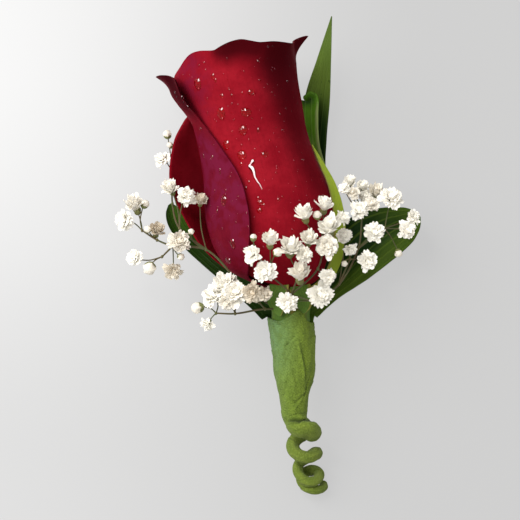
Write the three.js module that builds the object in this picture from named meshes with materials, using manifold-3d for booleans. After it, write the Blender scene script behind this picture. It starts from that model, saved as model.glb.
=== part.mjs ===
// A rose boutonniere: one red rose bud with its calyx and cut stem, four leaves and four sprigs of
// baby's breath, bound with green stem tape that runs on over a florist's wire into a curled tail.
//
// Millimetres. Every piece is laid out in U, V, W: U across the face of the boutonniere, V along it
// from the curl to the bud's rim, W towards whoever looks at it, from the middle of the tape's top.
// The finished group lies on its back on the plane Z = 0, on the back of the bud and on the curl.

import * as THREE from "three";
import { mergeVertices } from "three/addons/utils/BufferGeometryUtils.js";
import Module from "manifold-3d";

const wasm = await Module();
wasm.setup();

const DEGREES = Math.PI / 180;

// How it lies: the slope of the V axis, the height of the U, V, W origin above the surface, and the
// shift that puts the middle of the whole over the origin.
const LIE_SLOPE = 4.4 * DEGREES;
const LIE_HEIGHT = 12.95;
const LIE_SHIFT = [5.57, -15.74];

const CLEARANCE = 0.3; // between pieces that touch
const BLADE = 0.65; // thickness of a leaf or a free petal
const FINEST = 0.1; // smaller steps left where pieces of a head join are evened out
const WIRE_RADIUS = 0.32;
const STEM_RADIUS = 1.7;
const STEM_LEAN = 0.07; // the stem's slope towards -U as it rises inside the tape

// The closed bud: V, U of its axis, radius.
const BUD = [
  [7.9, 0.0, 3.9],
  [9.5, -1.1, 7.2],
  [12, -2.4, 10.0],
  [17, -3.6, 12.4],
  [22, -4.2, 13.6],
  [28, -5.2, 13.8],
  [34, -6.4, 13.2],
  [40, -8.0, 12.6],
  [46, -9.5, 12.5],
  [52, -11.0, 13.2],
  [58, -12.4, 13.7],
  [63, -12.9, 13.8],
  [67, -12.9, 13.5],
];
const CORE_TOP = 57;
const CORE_INSET = 0.5;

// Outer petals. turn and half are degrees round the bud, from the front towards +U; half is keyed
// by V, rim (the height of the top edge) by the place across, -1 to 1, flare and lift (extra radius,
// all over and at the +1 margin) by V. tip pulls the rim out to a point.
const OUTER_PETALS = [
  {
    turn: 15,
    stand: 0.4,
    cells: [17, 8],
    foot: 8.2,
    half: [[8, 40], [10, 80], [14, 102], [20, 110], [67, 110]],
    rim: [[-1, 56], [-0.93, 58.8], [-0.67, 62.8], [-0.44, 64.7], [-0.28, 66], [-0.14, 67], [0.07, 66.6],
      [0.36, 66.6], [0.62, 66.9], [0.8, 65], [1, 60]],
    flare: [[8, 0], [60, 0], [63, 0.3], [65, 0.8], [67, 1.6]],
    lift: [[8, 0], [67, 0]],
    tip: { at: 0.66, width: 0.07, reach: 3.2, rise: 1.9 },
  },
  {
    turn: -95,
    stand: 1.15,
    cells: [10, 9],
    foot: 8.4,
    half: [[8, 20], [9.6, 32], [12, 56], [17, 69], [24, 75], [31, 74], [36, 69], [42, 56], [49, 39], [59, 38]],
    rim: [[-1, 55], [-0.5, 58], [0, 58.9], [0.6, 58.9], [1, 57.6]],
    flare: [[8, 0], [46, 0], [50, 0.4], [52, 1.2], [54, 2.2], [56, 3.2], [59, 4.2]],
    lift: [[8, 0], [59, 0]],
    tip: { at: 0.1, width: 0.3, reach: 2.0, rise: -0.6 },
  },
  {
    turn: 150,
    stand: 1.15,
    cells: [9, 6],
    foot: 8.4,
    half: [[8, 22], [12, 46], [17, 54], [30, 56], [50, 54], [63, 46]],
    rim: [[-1, 55], [-0.5, 61], [0, 63.5], [0.5, 61], [1, 55]],
    flare: [[8, 0], [54, 0], [60, 1.0], [64, 2.2]],
    lift: [[8, 0], [64, 0]],
    tip: { at: 0, width: 0.2, reach: 1.0, rise: 0.5 },
  },
  {
    turn: -135,
    stand: 1.9,
    cells: [8, 8],
    foot: 8.6,
    half: [[8, 14], [12, 35], [17, 45], [24, 50], [34, 50], [43, 44], [48, 28], [51, 8]],
    rim: [[-1, 50], [0, 51], [1, 50]],
    flare: [[8, 0], [51, 0]],
    lift: [[8, 0], [12, 1.2], [17, 2.9], [24, 5.1], [30, 7.1], [35, 7.5], [43, 4.8], [48, 1.8], [51, 0.4]],
    tip: { at: 0, width: 0.2, reach: 0, rise: 0 },
  },
];
const PETAL_SEAT = 0.45; // how much thicker a petal is where it lies on the one below

// The rolled inner petals that show at the mouth of the bud.
const INNER_PETALS = 6;
const INNER_RADIUS = [11.6, 1.85]; // of the outermost, and the step inwards
const INNER_TURN = 137.5;
const INNER_HALF = 118;
const INNER_RIM = 64.2;
const INNER_FOOT = 52;

// The receptacle: V, U of its axis, radius.
const RECEPTACLE = [
  [1.8, 0.0, STEM_RADIUS],
  [2.7, 0.0, 2.5],
  [3.8, -0.1, 4.1],
  [5.2, -0.3, 5.0],
  [6.8, -0.5, 5.1],
  [7.5, -0.5, 4.5],
];
const STEM_END = -15;
// Sepals: middle line as U, V, W, then the half widths at its start, middle and end.
const SEPALS = [
  { line: [[2.6, 5.2, 2.6], [8.6, 9.2, 5.0], [11.6, 14.6, 4.6], [12.9, 20.5, 3.4], [12.8, 26.5, 2.6],
      [11.0, 32.4, 2.2], [8.4, 37.4, 2.0], [5.4, 42.2, 1.8]], widths: [1.6, 1.6, 0.3], face: [0.55, 0.1, 0.85] },
  { line: [[-3.0, 7.0, 4.0], [-3.4, 5.0, 4.7], [-3.0, 3.1, 4.6]], widths: [2.0, 1.6, 0.5], face: [-0.5, -0.2, 0.9] },
  { line: [[2.1, 7.0, 4.4], [2.7, 4.8, 5.0], [2.6, 2.6, 4.8]], widths: [2.0, 1.6, 0.5], face: [0.4, -0.2, 0.9] },
  { line: [[-4.8, 7.0, -0.6], [-5.4, 5.4, -0.3], [-5.4, 3.9, 0.0]], widths: [1.9, 1.4, 0.5], face: [-1, -0.2, 0.1] },
  { line: [[-1.6, 7.0, -4.4], [-1.8, 5.6, -5.0], [-1.7, 4.2, -5.1]], widths: [1.9, 1.4, 0.5], face: [-0.1, -0.2, -1] },
];
// Leaves: middle line as U, V, W from inside the tape to the tip; half widths keyed by the share of
// the line; face, the way the upper side looks; trough, how far the middle sinks for its width.
const LEAVES = {
  leaf_tall: {
    line: [[0.4, -6, -3.6], [0.4, 0.5, -3.7], [0.4, 1.9, -3.8], [1.6, 4.0, -6.6], [5.0, 11, -12.0], [7.2, 22, -13.7],
      [6.6, 34, -13.2], [5.9, 44, -11.8], [6.4, 54, -10.0], [7.7, 62.4, -8.2], [9.6, 72.6, -6.4]],
    widths: [[0, 0.65], [0.2, 0.65], [0.3, 1.1], [0.4, 2.4], [0.5, 3.4], [0.65, 3.7], [0.8, 3.0], [0.9, 1.8], [1, 0.1]],
    face: [-0.3, 0, 1],
    trough: 0.16,
    cells: 14,
  },
  leaf_folded: {
    line: [[2.7, -5, -2.4], [2.8, 0.5, -2.5], [2.9, 1.9, -2.6], [4.7, 4.0, -4.6], [9.0, 13, -9.8], [9.6, 23, -10.4],
      [8.6, 33, -9.4], [5.8, 42, -8.6], [4.8, 50, -7.0], [4.8, 53.6, -6.6], [4.9, 54.6, -7.5], [4.9, 53.6, -8.6]],
    widths: [[0, 0.65], [0.18, 0.65], [0.27, 1.0], [0.36, 1.9], [0.5, 2.3], [0.75, 2.3], [0.85, 2.2], [0.94, 1.6], [1, 0.5]],
    face: [-0.25, 0, 1],
    trough: 0.3,
    cells: 15,
  },
  leaf_right: {
    line: [[3.6, -5, 0.0], [3.7, 0.5, 0.0], [3.8, 2.0, -0.1], [6.4, 3.9, -1.6], [11.8, 9.6, -5.2], [16.9, 15.6, -6.6],
      [23.6, 21.2, -6.4], [31.4, 25.2, -5.8]],
    widths: [[0, 0.65], [0.28, 0.65], [0.4, 1.6], [0.5, 3.4], [0.65, 5.4], [0.78, 5.6], [0.9, 3.8], [0.97, 1.7], [1, 0.2]],
    face: [-0.2, 0.25, 1],
    trough: 0.14,
    cells: 14,
  },
  leaf_left: {
    line: [[-3.1, -5, -1.8], [-3.2, 0.5, -1.9], [-3.3, 1.9, -2.0], [-5.6, 3.7, -4.3], [-13.6, 9.0, -10.4],
      [-20.4, 14.6, -13.3], [-25.8, 20.4, -13.5], [-29.4, 28.2, -11.8]],
    widths: [[0, 0.65], [0.28, 0.65], [0.4, 1.4], [0.5, 2.5], [0.65, 3.6], [0.8, 3.6], [0.93, 2.4], [1, 0.3]],
    face: [0.1, 0.2, 1],
    trough: 0.16,
    cells: 13,
  },
};
const LEAF_HOLE = 1.2;

// The tape-wound handle: U, V, W of its middle line, then its radius.
const HANDLE = [
  [0.0, 1.2, 0.0, 5.7],
  [0.15, -1.5, 0.0, 5.75],
  [0.55, -5.5, 0.0, 5.45],
  [0.9, -10.5, 0.0, 5.1],
  [0.85, -14.8, 0.0, 4.6],
  [0.7, -18.2, 0.0, 3.7],
  [0.8, -21.2, 0.0, 3.35],
  [1.1, -23.8, 0.3, 2.9],
  [2.0, -25.9, 1.7, 2.55],
];
// The curl, by turns counted from where it first crosses the front: turns, U and V of its axis,
// radius of the turn, radius of the taped wire.
const CURL = [
  [0.06, 2.9, -25.2, 2.0, 2.5],
  [0.25, 3.0, -27.2, 2.1, 2.4],
  [0.5, 3.1, -28.5, 2.4, 1.9],
  [0.75, 3.3, -29.9, 2.8, 1.6],
  [1.0, 3.4, -31.3, 2.9, 1.55],
  [1.25, 3.4, -32.4, 2.85, 1.5],
  [1.5, 3.7, -33.8, 2.7, 1.35],
  [1.75, 4.2, -35.3, 2.5, 1.2],
  [2.0, 4.4, -36.4, 2.45, 1.15],
  [2.25, 4.5, -37.1, 2.45, 1.15],
  [2.5, 4.8, -37.8, 2.5, 1.15],
  [2.75, 5.1, -38.7, 2.6, 1.15],
  [3.0, 5.3, -39.7, 2.7, 1.15],
  [3.3, 5.5, -40.6, 2.6, 1.0],
];
const CURL_TILT = 28 * DEGREES; // the curl's axis leans away from the front
const CURL_AXIS_START = [-25.2, -0.2]; // V and W where its axis starts
const CURL_STEPS = 32;
const TAPE_SIDES = 10;
const WIRE_START = [[-2.2, -5.5, 0.4], [-1.55, -15.6, 0.4]]; // beside the cut stem
const WIRE_JOINS = 5; // the handle point where the wire reaches the middle line
const WIRE_HOLE = 0.75;

// Sprigs of baby's breath. forks: parent fork, U, V, W; the first two are inside the tape and at its
// mouth. florets: fork, U, V, W, diameter, then the way it faces as turn and rise in degrees.
// buds: fork, U, V, W, diameter, turn, rise.
const SPRAYS = {
  spray_left: {
    forks: [[0, -3.1, -5, 1.6], [0, -3.5, 1.9, 1.9], [1, -11.2, 7.6, 4.2], [2, -20.4, 16.9, 5.0],
      [3, -28.4, 17.8, 5.2], [4, -32.2, 19.2, 5.0], [5, -35.8, 21.5, 4.6], [3, -26.8, 22.0, 5.2], [7, -28.6, 28.0, 1.4],
      [8, -28.6, 34.0, -2.2], [4, -31.0, 15.2, 5.0]],
    florets: [
      [6, -38.0, 28.6, 4.4, 4.3, -35, 55],
      [6, -40.2, 24.0, 5.0, 5.2, -30, 0],
      [5, -31.9, 22.0, 6.0, 3.6, 20, 40],
      [3, -26.9, 19.0, 8.4, 5.6, 10, 10],
      [10, -37.7, 15.1, 4.8, 4.4, -30, 20],
      [4, -28.3, 11.8, 5.8, 5.0, 0, -20],
      [7, -29.3, 32.2, 5.4, 4.0, -25, 40],
      [7, -25.2, 29.9, 6.4, 5.0, 20, 25],
      [3, -21.6, 29.2, 6.2, 3.2, 10, 45],
      [9, -31.2, 38.9, -2.6, 4.2, -50, 30],
    ],
    buds: [
      [6, -35.2, 27.8, 3.6, 2.0, 50, 50],
      [5, -34.4, 21.7, 6.2, 1.8, -10, 30],
      [3, -24.0, 21.1, 7.6, 1.5, 20, 40],
      [10, -34.0, 12.5, 5.2, 3.1, -10, -30],
      [4, -26.5, 15.2, 6.4, 1.7, 40, -20],
      [9, -29.9, 44.8, -2.9, 2.0, -20, 60],
      [9, -29.2, 42.2, -3.0, 1.5, -50, 40],
    ],
  },
  spray_low: {
    forks: [[0, -2.0, -5, 3.1], [0, -2.2, 1.9, 3.5], [1, -6.2, 2.6, 5.6], [2, -13.4, 1.5, 6.0], [3, -18.0, 1.6, 5.6],
      [2, -7.6, 4.2, 7.6]],
    florets: [
      [4, -18.8, 6.2, 6.2, 4.8, -30, 35],
      [3, -16.1, 9.2, 7.2, 5.2, -15, 45],
      [3, -13.4, 6.6, 9.0, 5.8, 0, 20],
      [5, -9.3, 6.7, 11.2, 4.9, -5, -5],
      [5, -6.3, 6.3, 10.4, 3.6, 40, 20],
      [4, -22.1, 2.9, 5.2, 3.7, -70, 15],
      [4, -20.2, -1.0, 5.4, 3.7, -60, -50],
    ],
    buds: [],
  },
  spray_centre: {
    forks: [[0, 0.8, -5, 3.6], [0, 0.8, 1.9, 4.1], [1, 0.0, 6.0, 9.0], [2, -4.8, 10.6, 13.2], [2, 2.2, 11.8, 13.2],
      [2, 6.4, 12.4, 11.8], [5, 7.8, 19.2, 13.2], [2, 4.9, 4.6, 9.0]],
    florets: [
      [3, -9.3, 15.8, 16.4, 4.9, -35, 10],
      [3, -6.3, 11.7, 15.6, 5.7, -10, -5],
      [3, -5.0, 19.8, 18.2, 4.2, 0, 55],
      [4, -0.3, 18.0, 18.2, 5.3, 0, 25],
      [4, 4.3, 19.9, 16.8, 4.1, 5, 40],
      [4, 3.0, 15.8, 17.6, 3.9, 15, 10],
      [4, 2.1, 11.9, 15.6, 5.2, 0, 50],
      [5, 8.5, 17.8, 15.6, 6.0, 5, 10],
      [5, 8.9, 10.3, 12.6, 4.1, 25, 0],
      [7, 7.0, 6.1, 10.8, 6.2, 10, 0],
      [7, -1.0, 4.2, 10.2, 4.9, -5, -5],
      [6, 8.8, 22.9, 15.4, 5.3, -10, 45],
      [6, 2.9, 26.2, 17.2, 4.4, -25, 60],
      [6, 8.0, 28.3, 13.8, 4.3, 10, 60],
      [6, 12.3, 24.4, 12.4, 3.7, 30, 20],
    ],
    buds: [
      [3, -9.0, 19.7, 17.0, 1.6, 20, 80],
      [3, -3.3, 16.2, 17.0, 2.2, 30, 20],
      [6, 6.2, 25.0, 15.6, 2.0, -10, 50],
    ],
  },
  spray_right: {
    forks: [[0, 3.2, -4.6, 2.1], [0, 3.4, 1.9, 2.3], [1, 11.6, 8.6, 6.4], [2, 16.2, 17.2, 5.6], [3, 17.2, 25.2, 4.2],
      [3, 22.6, 22.0, 3.8], [2, 14.2, 14.6, 7.4]],
    florets: [
      [4, 16.2, 26.4, 7.6, 4.6, 0, 20],
      [4, 19.4, 27.8, 6.2, 4.0, 15, 30],
      [3, 20.0, 21.1, 8.4, 4.9, 5, 5],
      [6, 18.5, 14.1, 8.6, 4.9, 10, -5],
      [5, 24.2, 29.4, 5.6, 5.4, 10, 50],
      [5, 29.7, 24.8, 3.6, 3.8, 30, 15],
      [5, 28.0, 21.6, 5.0, 4.6, 15, -5],
      [4, 14.2, 33.6, 2.6, 3.2, -5, 45],
      [4, 12.9, 31.6, 6.0, 3.0, -10, 35],
      [4, 15.0, 30.6, 5.6, 3.5, -20, 20],
      [4, 17.3, 32.4, 3.0, 3.3, 5, 40],
      [4, 18.0, 29.8, 3.0, 3.4, 0, 20],
      [4, 20.6, 31.4, 3.0, 3.9, 15, 40],
      [2, 12.8, 20.2, 9.0, 3.8, -5, 10],
      [6, 14.3, 16.9, 10.4, 3.3, 20, -40],
    ],
    buds: [
      [5, 25.9, 16.1, 4.4, 1.9, 20, -50],
      [6, 12.8, 13.6, 9.6, 1.5, 0, -30],
    ],
  },
};
const TWIG_RADIUS = 0.36;
const TWIG_ROOT = 0.2; // where a twig starts, inside the stem that bears it
const FLORET_SCALE = 1.14; // the lobes' tips over the measured breadth of a flower
const MAIN_TWIG_RADIUS = 0.5;
const FLORET_LOBES = 6;

// A smooth value through keys [[x, value, ...], ...].
function keyed(keys, x, column = 1) {
  const last = keys.length - 1;
  if (x <= keys[0][0]) return keys[0][column];
  if (x >= keys[last][0]) return keys[last][column];
  let i = 0;
  while (x > keys[i + 1][0]) i += 1;
  const slope = (k) => {
    const a = keys[Math.max(k - 1, 0)];
    const b = keys[Math.min(k + 1, last)];
    return (b[column] - a[column]) / (b[0] - a[0]);
  };
  const width = keys[i + 1][0] - keys[i][0];
  const t = (x - keys[i][0]) / width;
  const ease = t * t * (3 - 2 * t);
  const bend = width * (slope(i) * t * (1 - t) ** 2 - slope(i + 1) * t * t * (1 - t));
  return keys[i][column] * (1 - ease) + keys[i + 1][column] * ease + bend;
}

// A repeatable draw from 0 to 1.
function draw(seed) {
  const x = Math.sin(seed * 127.1 + 11.7) * 43758.5453;
  return x - Math.floor(x);
}

// A body from points and triangles, its faces turned outwards.
function body(points, triangles) {
  let volume = 0;
  for (const [a, b, c] of triangles) volume += points[a].dot(points[b].clone().cross(points[c]));
  const index = triangles.flatMap(([a, b, c]) => (volume < 0 ? [a, c, b] : [a, b, c]));
  const geometry = new THREE.BufferGeometry().setFromPoints(points);
  geometry.setIndex(index);
  return geometry;
}

// A closed body through rings of points; a ring may have more points than the one before.
function loft(rings) {
  const points = rings.flat();
  const triangles = [];
  let first = 0;
  for (let k = 0; k + 1 < rings.length; k += 1) {
    const [few, many] = [rings[k].length, rings[k + 1].length];
    const second = first + few;
    for (let i = 0, j = 0; i < few || j < many;) {
      const [a, b] = [first + (i % few), second + (j % many)];
      if ((i + 1) * many <= (j + 1) * few) {
        i += 1;
        triangles.push([a, first + (i % few), b]);
      } else {
        j += 1;
        triangles.push([a, second + (j % many), b]);
      }
    }
    first = second;
  }
  for (let j = 1; j + 1 < rings[0].length; j += 1) triangles.push([0, j + 1, j]);
  for (let j = 1; j + 1 < points.length - first; j += 1) triangles.push([first, first + j, first + j + 1]);
  return body(points, triangles);
}

// A closed body between two surfaces given as functions of (s, t), s from -1 to 1 and t from 0 to 1.
function sheet(upper, lower, across, along) {
  const points = [];
  for (const side of [upper, lower]) {
    for (let j = 0; j <= along; j += 1) {
      for (let i = 0; i <= across; i += 1) points.push(side((2 * i) / across - 1, j / along));
    }
  }
  const row = across + 1;
  const half = row * (along + 1);
  const triangles = [];
  const quad = (a, b, c, d) => triangles.push([a, b, c], [a, c, d]);
  for (let j = 0; j < along; j += 1) {
    for (let i = 0; i < across; i += 1) {
      const a = j * row + i;
      triangles.push([a, a + 1, a + row + 1], [a, a + row + 1, a + row]);
      triangles.push([half + a, half + a + row + 1, half + a + 1], [half + a, half + a + row, half + a + row + 1]);
    }
    const left = j * row;
    const right = left + across;
    quad(left, left + row, half + left + row, half + left);
    quad(right + row, right, half + right, half + right + row);
  }
  for (let i = 0; i < across; i += 1) {
    const top = along * row + i;
    quad(i + 1, i, half + i, half + i + 1);
    quad(top, top + 1, half + top + 1, half + top);
  }
  return body(points, triangles);
}

function solid(geometry) {
  const bare = new THREE.BufferGeometry().setAttribute("position", geometry.getAttribute("position"));
  bare.setIndex(geometry.getIndex());
  const merged = mergeVertices(bare, 1e-4);
  return new wasm.Manifold(new wasm.Mesh({
    numProp: 3,
    vertProperties: merged.attributes.position.array,
    triVerts: new Uint32Array(merged.index.array),
  }));
}

// The one body that counts, without loose scraps.
const largest = (made) => made.decompose().sort((a, b) => b.volume() - a.volume())[0];

function joined(geometries) {
  return largest(geometries.map(solid).reduce((a, b) => a.add(b)).simplify(FINEST));
}

function geometryOf(made) {
  const mesh = made.getMesh();
  const geometry = new THREE.BufferGeometry();
  geometry.setAttribute("position", new THREE.BufferAttribute(new Float32Array(mesh.vertProperties), 3));
  geometry.setIndex(new THREE.BufferAttribute(new Uint32Array(mesh.triVerts), 1));
  return geometry;
}

// Rings of a tube along points, turned as little as they can be from the last one, which starts
// at the direction across.
function tubeRings(points, radii, sides, across = new THREE.Vector3(0, 0, 1)) {
  const rings = [];
  let start = across;
  for (let i = points.length - 1; i >= 0; i -= 1) {
    const before = points[Math.max(i - 1, 0)];
    const after = points[Math.min(i + 1, points.length - 1)];
    const ahead = after.clone().sub(before).normalize();
    start = start.clone().addScaledVector(ahead, -start.dot(ahead)).normalize();
    const other = ahead.clone().cross(start);
    rings.unshift(Array.from({ length: sides }, (_, j) => {
      const angle = (2 * Math.PI * j) / sides;
      return points[i].clone().addScaledVector(start, radii[i] * Math.cos(angle))
        .addScaledVector(other, radii[i] * Math.sin(angle));
    }));
  }
  return rings;
}

function tube(points, radii, sides) {
  return loft(tubeRings(points, radii, sides));
}

const vector = (p) => new THREE.Vector3(p[0], p[1], p[2]);

// The radius and axis of the closed bud at a height.
function budPoint(V, angle, radius) {
  const turn = angle * DEGREES;
  return new THREE.Vector3(keyed(BUD, V, 1) + radius * Math.sin(turn), V, radius * Math.cos(turn));
}

function outerPetal(petal) {
  const place = (s, row, depth) => {
    const t = 1 - (1 - row) ** 1.4;
    const pull = Math.exp(-(((s - petal.tip.at) / petal.tip.width) ** 2)) * Math.max(0, (t - 0.9) / 0.1) ** 1.5;
    const V = petal.foot + (keyed(petal.rim, s) - petal.foot) * t;
    const raised = Math.max(0, (s + 0.3) / 1.3) ** 2;
    const lift = keyed(petal.lift, V) * raised;
    const flare = keyed(petal.flare, V);
    const free = Math.min(1, (lift + flare) / 1.2 + pull);
    const thickness = BLADE + PETAL_SEAT * (1 - free);
    const radius = keyed(BUD, V, 2) + petal.stand + flare + lift + petal.tip.reach * pull - depth * thickness;
    return budPoint(V + petal.tip.rise * pull, petal.turn + s * keyed(petal.half, V), radius);
  };
  return sheet((s, t) => place(s, t, 0), (s, t) => place(s, t, 1), petal.cells[0], petal.cells[1]);
}

function innerPetal(k) {
  const turn = INNER_TURN * (k + 1);
  const place = (s, t, depth) => {
    const V = INNER_FOOT + (INNER_RIM - 0.35 * k - 1.6 * s * s - INNER_FOOT) * t;
    const radius = INNER_RADIUS[0] - INNER_RADIUS[1] * (k + 0.45 * s) + 0.5 * t ** 3 - depth * BLADE;
    return budPoint(V, turn + s * INNER_HALF, radius);
  };
  return sheet((s, t) => place(s, t, 0), (s, t) => place(s, t, 1), 8, 1);
}

function bloom() {
  const heights = [7.9, 9.5, 12, 17, 24, 32, 42, CORE_TOP - 1, CORE_TOP];
  const core = heights.map((V, i) => {
    const radius = keyed(BUD, V, 2) - CORE_INSET - (i === heights.length - 1 ? 3 : 0);
    return Array.from({ length: 18 }, (_, j) => budPoint(V, j * 20, radius));
  });
  const inner = Array.from({ length: INNER_PETALS }, (_, k) => innerPetal(k));
  return joined([loft(core), ...OUTER_PETALS.map(outerPetal), ...inner]);
}

// A thin blade along a line of points, facing the given way.
function blade(line, widths, face, trough, thickness, across, cells) {
  const curve = new THREE.CatmullRomCurve3(line.map(vector));
  const place = (s, t, depth) => {
    const point = curve.getPoint(t);
    const ahead = curve.getTangent(t);
    const side = ahead.clone().cross(vector(face)).normalize();
    const up = side.clone().cross(ahead).normalize();
    const half = keyed(widths, t);
    const dip = trough * half * (s * s - 0.5);
    return point.addScaledVector(side, s * half).addScaledVector(up, dip - depth * thickness);
  };
  return sheet((s, t) => place(s, t, -0.5), (s, t) => place(s, t, 0.5), across, cells);
}

function leaf(name) {
  const { line, widths, face, trough, cells } = LEAVES[name];
  return solid(blade(line, widths, face, trough, BLADE, 4, cells));
}

// The middle of the cut stem at a height inside the tape.
const stemU = (V) => STEM_LEAN * Math.max(0, RECEPTACLE[0][0] - V);

function upright(U, V, radius, sides) {
  return Array.from({ length: sides }, (_, j) => {
    const angle = (2 * Math.PI * j) / sides;
    return new THREE.Vector3(U + radius * Math.sin(angle), V, radius * Math.cos(angle));
  });
}

function roseStem() {
  const rings = [[STEM_END, stemU(STEM_END), STEM_RADIUS], ...RECEPTACLE];
  const stem = loft(rings.map(([V, U, radius]) => upright(U, V, radius, 12)));
  const sepals = SEPALS.map(({ line, widths, face }) => {
    const keys = [[0, widths[0]], [0.5, widths[1]], [1, widths[2]]];
    return blade(line, keys, face, 0.25, 0.8, 2, line.length > 4 ? 9 : 3);
  });
  return joined([stem, ...sepals]);
}

// The middle line of the curl and the radius of the tape there.
function curlPoint(turns) {
  const [axisU, axisV, turn, radius] = [1, 2, 3, 4].map((column) => keyed(CURL, turns, column));
  const angle = 2 * Math.PI * turns;
  const axisW = CURL_AXIS_START[1] + (axisV - CURL_AXIS_START[0]) * Math.tan(CURL_TILT);
  const front = turn * Math.cos(angle);
  return {
    point: new THREE.Vector3(axisU + turn * Math.sin(angle), axisV - front * Math.sin(CURL_TILT),
      axisW + front * Math.cos(CURL_TILT)),
    radius,
  };
}

function curlLine() {
  const [first, last] = [CURL[0][0], CURL[CURL.length - 1][0]];
  return Array.from({ length: CURL_STEPS + 1 }, (_, i) => curlPoint(first + ((last - first) * i) / CURL_STEPS));
}

function wireLine(shorter) {
  const handle = HANDLE.slice(WIRE_JOINS).map(vector);
  const curl = curlLine().map(({ point }) => point);
  return [...WIRE_START.map(vector), ...handle, ...curl.slice(0, curl.length - shorter)];
}

function wire() {
  const line = wireLine(2);
  return solid(tube(line, line.map(() => WIRE_RADIUS), 5));
}

// A plain hole for a stem: its line inside the tape, lengthened past both ends.
function hole(inside, mouth, radius) {
  const ahead = vector(mouth).sub(vector(inside)).normalize();
  const start = vector(inside).addScaledVector(ahead, -CLEARANCE);
  const end = vector(mouth).addScaledVector(ahead, 4);
  return solid(tube([start, end], [radius, radius], 8));
}

function tape() {
  const curl = curlLine();
  const points = [...HANDLE.map(vector), ...curl.map(({ point }) => point)];
  const radii = [...HANDLE.map((p) => p[3]), ...curl.map(({ radius }) => radius)];
  let wound = solid(tube(points, radii, TAPE_SIDES));
  const bottom = STEM_END - CLEARANCE;
  const bore = [[bottom, stemU(bottom)], [RECEPTACLE[0][0], 0], [6, 0]];
  wound = wound.subtract(solid(loft(bore.map(([V, U]) => upright(U, V, STEM_RADIUS + CLEARANCE + 0.1, 12)))));
  for (const { line } of Object.values(LEAVES)) wound = wound.subtract(hole(line[0], line[2], LEAF_HOLE));
  for (const { forks } of Object.values(SPRAYS)) {
    wound = wound.subtract(hole(forks[0].slice(1), forks[1].slice(1), MAIN_TWIG_RADIUS + CLEARANCE + 0.1));
  }
  const wireHole = wireLine(1);
  wireHole[0].y += CLEARANCE;
  wound = wound.subtract(solid(tube(wireHole, wireHole.map(() => WIRE_HOLE), 6)));
  return largest(wound);
}

// Rings of a double floret: calyx, an outer and an inner whorl of petals, facing +Z.
function floretRings(diameter, seed) {
  const ring = (radius, notch, height, shift) => Array.from({ length: 2 * FLORET_LOBES }, (_, j) => {
    const tip = (j + shift) % 2 === 0;
    const wobble = 1 + 0.2 * (draw(seed + j * 3.1 + shift) - 0.5);
    const reach = radius * (tip ? 1 : notch) * wobble * FLORET_SCALE * diameter;
    const angle = (Math.PI * j) / FLORET_LOBES;
    const rise = height + (tip ? 0.06 * (draw(seed + j * 7.7) - 0.3) : 0);
    return new THREE.Vector3(reach * Math.cos(angle), reach * Math.sin(angle), rise * diameter);
  });
  return [
    ring(0.15, 1, 0.1, 0),
    ring(0.5, 0.68, 0.34, 0),
    ring(0.32, 0.92, 0.44, 0),
    ring(0.37, 0.62, 0.62, 1),
    ring(0.1, 1, 0.5, 0),
  ];
}

function budRings(diameter) {
  return [[0.43, 0.3], [0.5, 0.68], [0.16, 1.15]].map(([radius, height]) => (
    Array.from({ length: 6 }, (_, j) => {
      const angle = (Math.PI * j) / 3;
      const reach = radius * diameter;
      return new THREE.Vector3(reach * Math.cos(angle), reach * Math.sin(angle), height * diameter);
    })));
}

function facing(turn, rise) {
  const [a, b] = [turn * DEGREES, rise * DEGREES];
  return new THREE.Vector3(Math.sin(a) * Math.cos(b), Math.sin(b), Math.cos(a) * Math.cos(b));
}

// A twig that leaves a fork and enters a flower from behind, with the flower on it. The flower's
// middle, which lies its depth above its foot, comes to the point.
function flower(rings, fork, point, face, depth) {
  const turn = new THREE.Quaternion().setFromUnitVectors(new THREE.Vector3(0, 0, 1), face);
  const foot = point.clone().addScaledVector(face, -depth);
  const behind = foot.clone().addScaledVector(face, -0.3 * foot.distanceTo(fork));
  const middle = fork.clone().lerp(behind, 0.62);
  const across = new THREE.Vector3(1, 0, 0).applyQuaternion(turn);
  const twig = tubeRings([fork, middle, foot], [TWIG_ROOT, TWIG_RADIUS, TWIG_RADIUS], 3, across);
  return loft([...twig, ...rings.map((ring) => ring.map((p) => p.applyQuaternion(turn).add(foot)))]);
}

// Unbroken runs of forks: each run ends where another one already goes on.
function stems(forks) {
  const runs = [[0]];
  forks.slice(1).forEach(([parent], i) => {
    const run = runs.find((r) => r[r.length - 1] === parent);
    if (run) run.push(i + 1);
    else runs.push([parent, i + 1]);
  });
  return runs;
}

function spray(name) {
  const { forks, florets, buds } = SPRAYS[name];
  const points = forks.map((fork) => vector(fork.slice(1)));
  const parts = stems(forks).map((run, k) => {
    const radii = run.map((i) => (i < 2 ? MAIN_TWIG_RADIUS : 0.5 * (MAIN_TWIG_RADIUS + TWIG_RADIUS)));
    if (k > 0) radii[0] = TWIG_ROOT;
    return tube(run.map((i) => points[i]), radii, 4);
  });
  florets.forEach(([fork, U, V, W, diameter, turn, rise], i) => {
    const rings = floretRings(diameter, i + 10 * name.length);
    parts.push(flower(rings, points[fork], new THREE.Vector3(U, V, W), facing(turn, rise), 0.42 * diameter));
  });
  buds.forEach(([fork, U, V, W, diameter, turn, rise]) => {
    parts.push(flower(budRings(diameter), points[fork], new THREE.Vector3(U, V, W), facing(turn, rise), 0.6 * diameter));
  });
  return joined(parts);
}

const COLOURS = {
  petal: { color: "#8f0d20", roughness: 0.55, metalness: 0 },
  calyx: { color: "#5d8034", roughness: 0.6, metalness: 0 },
  leaf: { color: "#3c6423", roughness: 0.5, metalness: 0 },
  floret: { color: "#f3f0e2", roughness: 0.7, metalness: 0 },
  tape: { color: "#738b3d", roughness: 0.8, metalness: 0 },
  wire: { color: "#5a6b4a", roughness: 0.4, metalness: 1 },
};

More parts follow.
